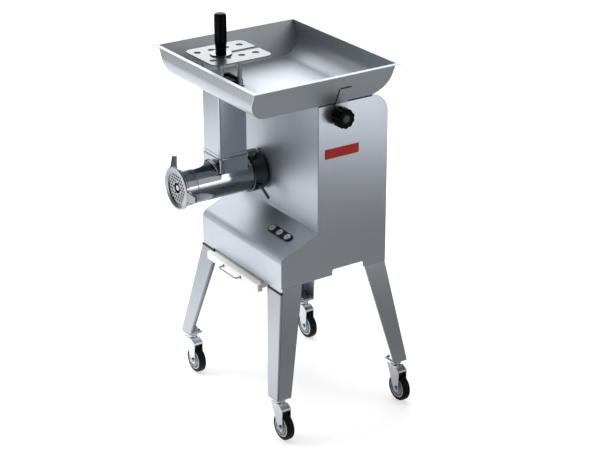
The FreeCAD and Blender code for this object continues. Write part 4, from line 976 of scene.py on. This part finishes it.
def makeKnob():
    k = knob
    at = (k.y, k.z)
    outline = []
    count = 16 * k.flutes
    for i in range(count):
        t = 2 * math.pi * i / count
        r = k.radius - k.depth * (0.5 + 0.5 * math.cos(k.flutes * t)) ** k.pinch
        outline.append((k.y + r * math.cos(t), k.z + r * math.sin(t)))
    grip = slab("trayKnob", outline, onX, k.low, k.high)
    editPick(grip, "EDGE", lambda m, run: abs(m.x - k.high) < same)
    bevelPicked(k.topEdge, 4)
    editPick(grip, "EDGE", lambda m, run: abs(m.x - k.low) < same)
    bevelPicked(k.lowEdge)
    # a dished face with a ring round the insert
    editPick(grip, "FACE", lambda m, n: n.x > 0.99 and m.x > k.high - 0.1)
    bpy.ops.mesh.inset(thickness=k.border / 1000)
    bpy.ops.transform.translate(value=(-k.dish / 1000, 0, 0))
    leaveEdit()
    top = k.low + 1
    collar = latheX("knobCollar", [(0, k.seat), (k.collar - 0.6, k.seat), (k.collar, k.seat + 0.6),
                                   (k.collar, top), (0, top)], *at, 40)
    top = k.seat + 0.5
    stud = latheX("knobStud", [(0, k.studEnd), (k.stud - 0.6, k.studEnd), (k.stud, k.studEnd + 0.8),
                               (k.stud, top), (0, top)], *at, 24)
    joinAll([grip, collar, stud])
    standFor(turned(grip), "knobBlack", "tray_knob")
    face = k.high - k.dish
    r = k.insert
    line = [(0, -1), (r + 3, -1), (r + 3, 0.5), (r + 2.4, 1), (r + 0.8, 1), (r + 0.4, 0.2), (r - 0.2, 0.2),
            (r - 0.6, 1.4), (r - 1.4, 1.9), (2.4, 1.9), (1.4, 1.1), (0, 1.1)]
    insert = latheX("knobInsert", [(u, face + v) for u, v in line], *at, 40)
    addOn(turned(insert), "ringGrey", "tray_knob")


makeTray()
makeDuct()
makeBracket()
makeKnob()
print("tray made")


# guard plate and pusher
guard = Sizes(x=-85, y=-98, halfX=84, halfY=94, low=1026.5, high=1029.5, corner=22, slot=8.5, mouth=2,
              hole=10, column=42.5, row=45, move=-4, postX=53, postY=-125, postGap=59, post=6.5, cutter=5)
pusher = Sizes(x=-85, y=-122, foot=959, disc=31, discLow=1029.5, discTop=1033.5, rod=7, tang=38, waist=15,
               grip=17, top=1145.5, play=3, footDepth=50, footCorner=6, footRim=8, footDish=6, boss=15)


def makeGuard():
    g = guard
    left, right = g.x - g.halfX, g.x + g.halfX
    front, rear = g.y - g.halfY, g.y + g.halfY
    slotLeft, slotRight, end = g.x - g.slot, g.x + g.slot, pusher.y - g.slot
    points = [(left, front), (right, front), (right, rear), (slotRight, rear), (slotRight, end),
              (slotLeft, end), (slotLeft, rear), (left, rear)]
    c, s = g.corner, g.slot - 0.05
    plate = slab("guardPlate", rounded(points, [c, c, c, g.mouth, s, s, g.mouth, c], 8), onZ, g.low, g.high)
    cutters = []
    for i in (-1, 1):
        for j in (-1.5, -0.5, 0.5, 1.5):
            hole = circleOutline(g.x + g.move + i * g.column, g.y + g.move + j * g.row, g.hole, 40)
            cutters.append(slab("guardHole", hole, onZ, g.low - g.cutter, g.high + g.cutter))
    cutWith(plate, [joinAll(cutters)])
    standFor(ease(plate, 0.6, 3), "guardSteel", "guard_plate")
    base = tray.floor + tray.sheet
    r = g.post
    profile = [(0, base), (r + 2, base), (r + 2.4, base + 0.5), (r + 2.4, base + 1.6),
               (r + 1.6, base + 2.4), (r, base + 2.8), (r, g.low - 0.8), (r - 0.8, g.low), (0, g.low)]
    posts = []
    for i in (-1, 1):
        for j in (-0.5, 0.5):
            posts.append(latheZ("guardPosts", profile, g.x + i * g.postX, g.postY + j * g.postGap, 40))
    standFor(turned(joinAll(posts)), "postChrome", "guard_posts")


def makePusher():
    p = pusher
    at = (p.x, p.y)
    low, top, r, d = p.discLow, p.discTop, p.rod, p.disc
    line = [(0, p.foot), (r, p.foot), (r, low), (d - 1.2, low), (d - 0.3, low + 0.4), (d, low + 1.2),
            (d, top - 1.4), (d - 0.5, top - 0.4), (d - 1.5, top), (r, top), (r, top + p.tang),
            (0, top + p.tang)]
    standFor(turned(latheZ("pusherRod", line, *at, 72)), "discChrome", "pusher_rod")
    w, g, t = p.waist, p.grip, p.top
    line = [(0, top), (w - 0.8, top), (w, top + 0.8), (w, top + 10), (w + 0.1, top + 17),
            (w + 0.6, top + 23), (w + 1.4, top + 29), (g, top + 34), (g, top + 60), (g, t - 7),
            (g - 0.6, t - 4.2), (g - 2.2, t - 2), (g - 4.5, t - 0.6), (g - 7, t), (6.4, t),
            (5.8, t - 0.7), (0, t - 0.7)]
    standFor(turned(latheZ("pusherHandle", line, *at, 72)), "handleBlack", "pusher_handle")
    half = duct.half - duct.wall - p.play
    outline = rounded(around(duct.x, duct.y, half, half), p.footCorner)
    foot = slab("pusherFoot", outline, onZ, p.foot - p.footDepth, p.foot)
    editPick(foot, "FACE", lambda m, n: n.z > 0.9)
    bpy.ops.mesh.inset(thickness=p.footRim / 1000)
    bpy.ops.mesh.extrude_region_move(TRANSFORM_OT_translate={"value": (0, 0, -p.footDish / 1000)})
    leaveEdit()
    base = p.foot - p.footDish - 2
    boss = latheZ("footBoss", [(0, base), (p.boss, base), (p.boss - 2, p.foot - 0.6),
                               (p.boss - 2.6, p.foot), (0, p.foot)], *at, 40)
    standFor(ease(joinAll([foot, boss]), 1.2, 3), "footBlack", "pusher_foot")


makeGuard()
makePusher()
print("guard and pusher made")


# grinder head, ring nut, hub and levers
head = Sizes(x=-85, z=669, barrel=54, bore=46, neck=51, seat=49, seatDepth=16, front=-266.5,
             shoulder=-234.5, rear=-12, rearWall=12, shaft=17.5, top=743, inletX=48, inletY=46.5, wall=6,
             collar=2, collarHeight=9, corner=6, filletX=5.2, filletY=6, tuck=2)
ring = Sizes(front=-277.5, flangeRear=-267.5, rear=-235, radius=62.5, body=56, opening=46, mouth=56.5,
             chamfer=2.5, lip=5, thread=51.05, edge=3, lugAngles=(105, -5), lugIn=58.5, lugOut=91.5,
             lugWide=16, lugTip=10, lugLow=-275.5, lugThick=8, lugLean=15, lugCorner=4)
hub = Sizes(front=-52, rear=0, middle=-32, wall=-12, shaft=22, collar=60, flange=46, bore=54.05, boss=9,
            bossLow=56, bossHeight=3, bossBore=5.1, angles=(60, -30), reaches=(94, 109), rod=4.5, screw=5,
            screwLow=54.4, neck=7.5)


def makeHead():
    h = head
    r, inner = h.barrel, h.rear - h.rearWall
    seatEnd = h.front + h.seatDepth
    profile = [(h.seat, h.front), (h.neck - 0.6, h.front), (h.neck, h.front + 0.6), (h.neck, h.shoulder),
               (r - 1.2, h.shoulder), (r - 0.3, h.shoulder + 0.4), (r, h.shoulder + 1.4), (r, -160),
               (r, -110), (r, -60), (r, h.rear), (h.shaft, h.rear), (h.shaft, inner), (h.bore, inner),
               (h.bore, seatEnd), (h.seat, seatEnd), (h.seat, h.front)]
    barrel = latheY("grinderHead", profile, h.x, h.z, 96)

    def skin(x):
        # height of the barrel's skin above the floor
        return h.z + math.sqrt(max(r * r - (x - h.x) ** 2, 0))

    def outline(growX, growY=None):
        growY = growX if growY is None else growY
        corner = max(h.corner + min(growX, growY), 3)
        points = rounded(around(h.x, duct.y, h.inletX + growX, h.inletY + growY), corner, 6)
        made = []
        for a, b in zip(points, points[1:] + points[:1]):
            # the long sides get more points, to follow the barrel
            count = 16 if (b - a).length > 20 else 1
            made += [a.lerp(b, k / count) for k in range(count)]
        return made

    # one skin: up the inside, over the rim, down the outside and back under the barrel's own skin
    rows = [[spot(u, v, skin(u) - h.tuck) for u, v in outline(-h.wall)]]
    step, c = h.top - h.collarHeight, h.collar
    for grow, z in ((-h.wall, h.top - 0.8), (0.8 - h.wall, h.top), (c - 0.9, h.top), (c - 0.2, h.top - 0.3),
                    (c, h.top - 1.0), (c, step + 0.9), (c - 0.5, step + 0.2), (0.3, step - 0.2),
                    (0, step - 0.8)):
        rows.append([spot(u, v, z) for u, v in outline(grow)])
    for k in range(8):
        t = math.pi / 2 * k / 7
        lift = h.filletY * (1 - math.sin(t)) - (0.4 if k == 7 else 0)
        foot = outline(h.filletX * (1 - math.cos(t)), h.filletY * (1 - math.cos(t)))
        rows.append([spot(u, v, skin(u) + lift) for u, v in foot])
    rows.append(rows[0])
    inlet = loft("headInlet", rows, True)
    cutWith(barrel, [slab("headMouth", outline(0.1 - h.wall), onZ, h.z, h.top)])
    joinAll([barrel, inlet])
    standFor(turned(barrel), "headPolished", "grinder_head")


def radial(angle):
    # outwards from the head's axis
    return Vector((math.cos(math.radians(angle)), 0, math.sin(math.radians(angle))))


def makeRing():
    g = ring
    r, e = g.radius, g.edge
    turns = [math.radians(t) for t in range(0, 91, 15)]
    arcFront = [(r - e + e * math.sin(t), g.front + e - e * math.cos(t)) for t in turns]
    arcRear = [(u, g.flangeRear - (v - g.front)) for u, v in arcFront[::-1]]
    lip = g.front + g.lip
    cone = (g.opening, g.front + g.chamfer)
    profile = [cone, (g.mouth, g.front + 0.2), (g.mouth + 0.4, g.front)] + arcFront + arcRear
    profile += [(g.body + 2, g.flangeRear), (g.body + 0.5, g.flangeRear + 0.6), (g.body, g.flangeRear + 2)]
    profile += [(g.body, g.rear - 2), (g.body - 0.5, g.rear - 0.6), (g.body - 1.8, g.rear)]
    profile += [(g.thread, g.rear), (g.thread, lip), (g.opening, lip), cone]
    nut = turned(latheY("ringNut", profile, head.x, head.z, 112))
    lean = math.radians(g.lugLean)
    points = [(g.lugIn, -g.lugWide), (g.lugOut, -g.lugTip), (g.lugOut, g.lugTip), (g.lugIn, g.lugWide)]
    points = rounded(points, [0, g.lugCorner, g.lugCorner, 0])
    lugs = []
    for angle in g.lugAngles:
        out, side = radial(angle), radial(angle + 90)

        def onLug(u, v, w):
            # the lug leans back from the flange's edge
            at = out * (r + (u - r) * math.cos(lean) - w * math.sin(lean)) + side * v
            y = g.lugLow + (u - r) * math.sin(lean) + w * math.cos(lean)
            return spot(head.x + at.x, y, head.z + at.z)

        lugs.append(ease(slab("ringLug", points, onLug, 0, g.lugThick), 2.2, 4))
    standFor(joinAll([nut] + lugs), "ringPolished", "ring_nut")


def makeHub():
    b = hub
    r = b.collar
    bossTop = r + b.bossHeight
    profile = [(b.bore, b.front + 1.5), (b.bore + 1.5, b.front), (r - 2, b.front), (r - 0.6, b.front + 0.6),
               (r, b.front + 2), (r, b.wall - 0.6), (r - 0.6, b.wall + 0.4), (b.flange, b.rear),
               (b.shaft, b.rear), (b.shaft, b.wall), (b.bore, b.wall), (b.bore, b.front + 1.5)]
    collar = latheY("clampHub", profile, head.x, head.z, 96)
    middle = spot(head.x, b.middle, head.z)
    bossLine = [(b.bossBore, b.bossLow), (b.boss, b.bossLow), (b.boss, bossTop - 0.8),
                (b.boss - 0.8, bossTop), (b.bossBore, bossTop), (b.bossBore, b.bossLow)]
    bosses = [lathe("hubBoss", bossLine, middle, radial(angle), (0, 1, 0), 40) for angle in b.angles]
    joinAll([collar] + bosses)
    standFor(turned(collar), "hubPolished", "clamp_hub")
    low, d, n = bossTop + 0.3, b.rod, b.neck
    for angle, reach, node in zip(b.angles, b.reaches, ("clamp_lever_upper", "clamp_lever_lower")):
        line = [(0, b.screwLow), (b.screw, b.screwLow), (b.screw, low), (n - 0.5, low), (n, low + 0.5),
                (n, low + 3.4), (n - 0.6, low + 4), (d + 0.6, low + 4), (d, low + 5), (d, reach - 2.6),
                (d - 0.5, reach - 1.2), (d - 1.6, reach - 0.2), (0, reach)]
        lever = lathe(camel(node), line, middle, radial(angle), (0, 1, 0), 40)
        standFor(turned(lever), "leverChrome", node)


makeHead()
makeRing()
makeHub()
print("head made")


# controls on the hood
def makeControls():
    c = controls
    wide, r, top = c.width / 2, c.button / 2, c.thickness + c.proud
    outline = rounded(around(c.x, 0, c.length / 2, wide), wide - 0.05, 12)
    bezel = slab("controlBezel", outline, onHood, 0, c.thickness)
    rings, wells = [], []
    for x in buttonPlaces:
        well = circleOutline(x, 0, r + c.play, 48)
        wells.append(slab("bezelWell", well, onHood, -c.cutter, c.cutter))
        rings.append(latheHood("bezelRings", c.ringLine, x, 48))
    cutWith(bezel, [joinAll(wells)])
    ease(bezel, 0.9, 3)
    standFor(turned(bezel), "bezelBlack", "control_bezel")
    addOn(turned(joinAll(rings)), "ringGrey", "control_bezel")
    face = top - 0.75
    faceTop = face + c.mark
    for x, node in zip(buttonPlaces, ("start_button", "stop_button", "reverse_button")):
        line = [(0, -c.stem), (r, -c.stem), (r, top - 1.2), (r - 0.3, top - 0.4), (r - 1.1, top),
                (r - 2, top), (r - 2.8, top - 0.5), (0, top - 0.7)]
        standFor(turned(latheHood(camel(node), line, x, 48)), "buttonGrey", node)
        if node == "start_button":
            mark = slab("startMark", rounded(around(x, 0, 0.9, 3.6), 0.8), onHood, face, faceTop)
        elif node == "stop_button":
            mark = latheHood("stopMark", band(2.2, 3.8, face, faceTop), x, 32)
        else:
            arrow = rounded([(x - 3.4, 0), (x + 2.4, -3.4), (x + 2.4, 3.4)], 0.6)
            mark = slab("reverseMark", arrow, onHood, face, faceTop)
        addOn(smooth(mark), "symbolBlack", node)


makeControls()
print("controls made")


# pull-out board and its handle
board = Sizes(x=-12.5, low=397.7, high=419.7, front=-145, bar=16, half=123, barHalf=139.5, rear=171,
              edge=2.2, corner=4, barCorner=6, handleX=-12, handleHalf=45.5, reach=16.5, depth=6,
              wire=2.5, bend=8, collar=5)


def makeBoard():
    b = board
    barRear = b.front + b.bar
    points = [(-b.barHalf, b.front), (b.barHalf, b.front), (b.barHalf, barRear), (b.half, barRear),
              (b.half, b.rear), (-b.half, b.rear), (-b.half, barRear), (-b.barHalf, barRear)]
    points = [(b.x + x, y) for x, y in points]
    radii = [b.barCorner, b.barCorner, b.corner, 0, b.corner, b.corner, 0, b.corner]
    plank = slab("pullOutBoard", rounded(points, radii), onZ, b.low, b.high)
    standFor(ease(plank, b.edge, 4), "boardWhite", "pull_out_board")
    left, right = b.handleX - b.handleHalf, b.handleX + b.handleHalf
    near, far = b.front + b.depth, b.front - b.reach
    points = [(left, near), (left, far), (right, far), (right, near)]
    line = rounded(points, [0, b.bend, b.bend, 0], 8, False)
    z = (b.low + b.high) / 2
    pencil("boardHandle", [spot(u, v, z) for u, v in line])
    leaveEdit()
    bpy.ops.object.convert(target="CURVE")
    curve = bpy.context.object
    curve.data.bevel_depth = b.wire / 1000
    curve.data.bevel_resolution = 5
    curve.data.use_fill_caps = True
    bpy.ops.object.convert(target="MESH")
    wire = bpy.context.object
    wire.name = wire.data.name = "boardHandle"
    profile = [(0, b.front - 1.6), (b.collar - 0.8, b.front - 1.6), (b.collar, b.front - 0.8),
               (b.collar, b.front), (0, b.front)]
    joinAll([wire] + [latheY("handleCollar", profile, x, z, 24) for x in (left, right)])
    standFor(turned(wire), "wireSteel", "board_handle")


makeBoard()
print("board made")


# red plate, gland and rear screws
redPlate = Sizes(front=21, rear=133, low=783, high=811, corner=2.5, thickness=0.8, border=1.4, dish=0.4)
gland = Sizes(x=-150, z=495, across=28, flange=6, bore=5, thread=10, threadEnd=10.5, nutEnd=7.5,
              nutSeat=1.5, ribs=12, ribRing=10.8, rib=0.9, ribLow=7, ribHigh=15,
              domeLine=[(5, 6), (10.4, 6), (11, 6.8), (11, 15), (10.4, 17), (8.8, 19), (7, 20), (5.4, 20),
                        (5, 19.6), (5, 6)])
screw = Sizes(inset=10.5, margin=40, count=4,
              line=[(0, -6), (2.5, -6), (2.5, 0), (4.5, 0), (4.5, 0.8), (4.1, 1.7), (3.2, 2.3), (2, 2.5),
                    (1.6, 2.5), (1.5, 1.2), (0, 1.2)])


def makeRedPlate():
    p, x = redPlate, housing.half
    outline = rounded(oblong(p.front, p.rear, p.low, p.high), p.corner, 4)
    plate = slab("redPlate", outline, onX, x, x + p.thickness)
    editPick(plate, "FACE", lambda m, n: n.x > 0.9)
    bpy.ops.mesh.inset(thickness=p.border / 1000)
    bpy.ops.transform.translate(value=(-p.dish / 1000, 0, 0))
    leaveEdit()
    standFor(ease(plate, 0.15), "plateRed", "name_plate")


def makeGland():
    g, y = gland, housing.rear
    at = (g.x, g.z)
    pieces = [hexBar("cableGland", onY, *at, g.across, y, y + g.flange),
              latheY("glandDome", [(r, y + h) for r, h in g.domeLine], *at, 48),
              latheY("glandThread", band(g.bore, g.thread, y - g.threadEnd, y), *at, 40),
              hexBar("glandNut", onY, *at, g.across, y - g.nutEnd, y - g.nutSeat)]
    for rib in circleOutline(*at, g.ribRing, g.ribs):
        pieces.append(slab("glandRib", circleOutline(*rib, g.rib, 10), onY, y + g.ribLow, y + g.ribHigh))
    standFor(ease(joinAll(pieces), 0.4), "glandBlack", "cable_gland")


def makeScrews():
    h, s = housing, screw
    low, high = h.bottom + s.margin, h.top - h.rearRadius - s.margin
    line = [(r, h.rear + v) for r, v in s.line]
    screws = []
    for sign in (-1, 1):
        for i in range(s.count):
            z = low + (high - low) * i / (s.count - 1)
            screws.append(latheY("coverScrews", line, sign * (h.half - s.inset), z, 32))
    standFor(turned(joinAll(screws)), "boltSteel", "cover_screws")


makeRedPlate()
makeGland()
makeScrews()
print("small parts made")


# floor, light and camera
studio = Sizes(cameraAt=spot(3648.6, -2351.0, 2408.5), lookAt=spot(156.9, 0.0, 578.3), lens=97.17,
               floorSize=60.0, floorDrop=0.0005, toFront=(-0.83, -0.56, 0.0), floorReach=4.0, skyDim=0.05)
# soft patches of light in an otherwise dim room: direction, dim and bright cosine, strength
skyPatches = (((-0.78, 0.06, 0.62), 0.78, 0.97, 1.05), ((-0.70, 0.60, 0.40), 0.80, 0.97, 2.5),
              ((0.80, 0.52, 0.30), 0.82, 0.98, 0.7), ((0.1, 0.1, 1.0), 0.85, 0.99, 0.4),
              ((-0.76, -0.66, 0.08), 0.94, 0.99, 1.3))
# the floor as the metal sees it, from 4 m at the back right to 4 m at the front left
floorTones = ((0.0, 0.2), (0.10, 0.22), (0.15, 0.32), (0.19, 0.40), (0.22, 0.36), (0.25, 0.27),
              (0.29, 0.20), (0.34, 0.13), (0.38, 0.44), (0.40, 0.33), (0.44, 0.31), (0.47, 0.55),
              (0.51, 1.1), (0.55, 1.5), (0.60, 1.75), (0.64, 1.65), (0.67, 1.3), (0.70, 1.15),
              (0.74, 1.5), (0.79, 1.5), (0.83, 1.05), (0.87, 0.6), (0.94, 0.45), (1.0, 0.2))


def makeFloor():
    # the camera sees a white floor with a soft shadow, the metal sees the tones above
    pickNone()
    bpy.ops.mesh.primitive_plane_add(size=studio.floorSize, location=(0, 0, -studio.floorDrop))
    floor = bpy.context.object
    floor.name = "studioFloor"
    look = Finish("studioFloor")
    look.feed("Roughness", 0.9)
    look.feed("Base Color", (0.42, 0.42, 0.42))
    place = look.dot(look.coords, studio.toFront) * (0.5 / studio.floorReach) + 0.5
    stops = [(at, (tone / 2, tone / 2, tone / 2)) for at, tone in floorTones]
    grey = look.add("ValToRGB", {0: place}, stops=stops)
    glow = look.add("Emission", {"Color": grey, "Strength": 2.0})
    apart = look.add("VectorMath", {0: look.coords}, 1, operation="LENGTH")
    white = look.blend(look.span(apart, 0.5, 2.2), (0.6, 0.6, 0.6), (1.0, 1.0, 1.0))
    shown = look.add("Emission", {"Color": white, "Strength": 1.0})
    lit = look.add("AddShader", {0: Wire(look.tree, look.shader.outputs[0]), 1: shown})
    mixed = look.add("MixShader", {0: look.add("LightPath", {}), 1: glow, 2: lit})
    look.put(look.tree.nodes["Material Output"].inputs[0], mixed)
    floor.data.materials.append(look.material)


def makeSky():
    world = bpy.data.worlds.new("studio")
    bpy.context.scene.world = world
    world.use_nodes = True
    wire = Wire(world.node_tree)
    ray = wire.add("TexCoord", {})
    strength = studio.skyDim
    for toward, low, high, power in skyPatches:
        strength = strength + wire.span(wire.dot(ray, Vector(toward).normalized()), low, high, power)
    seen = wire.add("LightPath", {})
    background = world.node_tree.nodes["Background"].inputs
    wire.put(background["Color"], (1, 1, 1, 1))
    wire.put(background["Strength"], strength * (1 - seen) + seen)


def aimAt(obj, place, target):
    obj.rotation_mode = "QUATERNION"
    obj.rotation_quaternion = (Vector(target) - Vector(place)).to_track_quat("-Z", "Y")


def softbox(name, place, aim, size, power, inMetal=False):
    # lights paint, plastic and floor; the metal shows the room and the two cards
    pickNone()
    bpy.ops.object.light_add(type="AREA", location=place)
    lamp = bpy.context.object
    lamp.name = name
    lamp.data.shape = "RECTANGLE"
    lamp.data.size, lamp.data.size_y = size
    lamp.data.energy = power
    lamp.visible_glossy = inMetal
    lamp.visible_camera = False
    aimAt(lamp, place, aim)


def makeCamera():
    pickNone()
    bpy.ops.object.camera_add(location=studio.cameraAt)
    camera = bpy.context.object
    camera.data.lens = studio.lens
    camera.data.sensor_width = 36
    camera.data.clip_end = 200
    aimAt(camera, studio.cameraAt, studio.lookAt)
    bpy.context.scene.camera = camera
    bpy.context.scene.view_settings.view_transform = "Standard"


makeFloor()
makeSky()
softbox("keySoftbox", (-2.2, -2.6, 3.4), (0, 0, 0.7), (2.2, 2.2), 140)
softbox("topSoftbox", (-0.4, 0.2, 4.0), (0, 0, 0.8), (2.6, 2.0), 110)
softbox("sideCard", (1.1, 0.85, 0.60), (0.19, 0.15, 0.8), (0.9, 0.40), 1.35, True)
softbox("headCard", (1.05, 0.33, 0.78), (-0.1, -0.2, 0.68), (0.42, 0.2), 0.55, True)
makeCamera()
print("studio set")
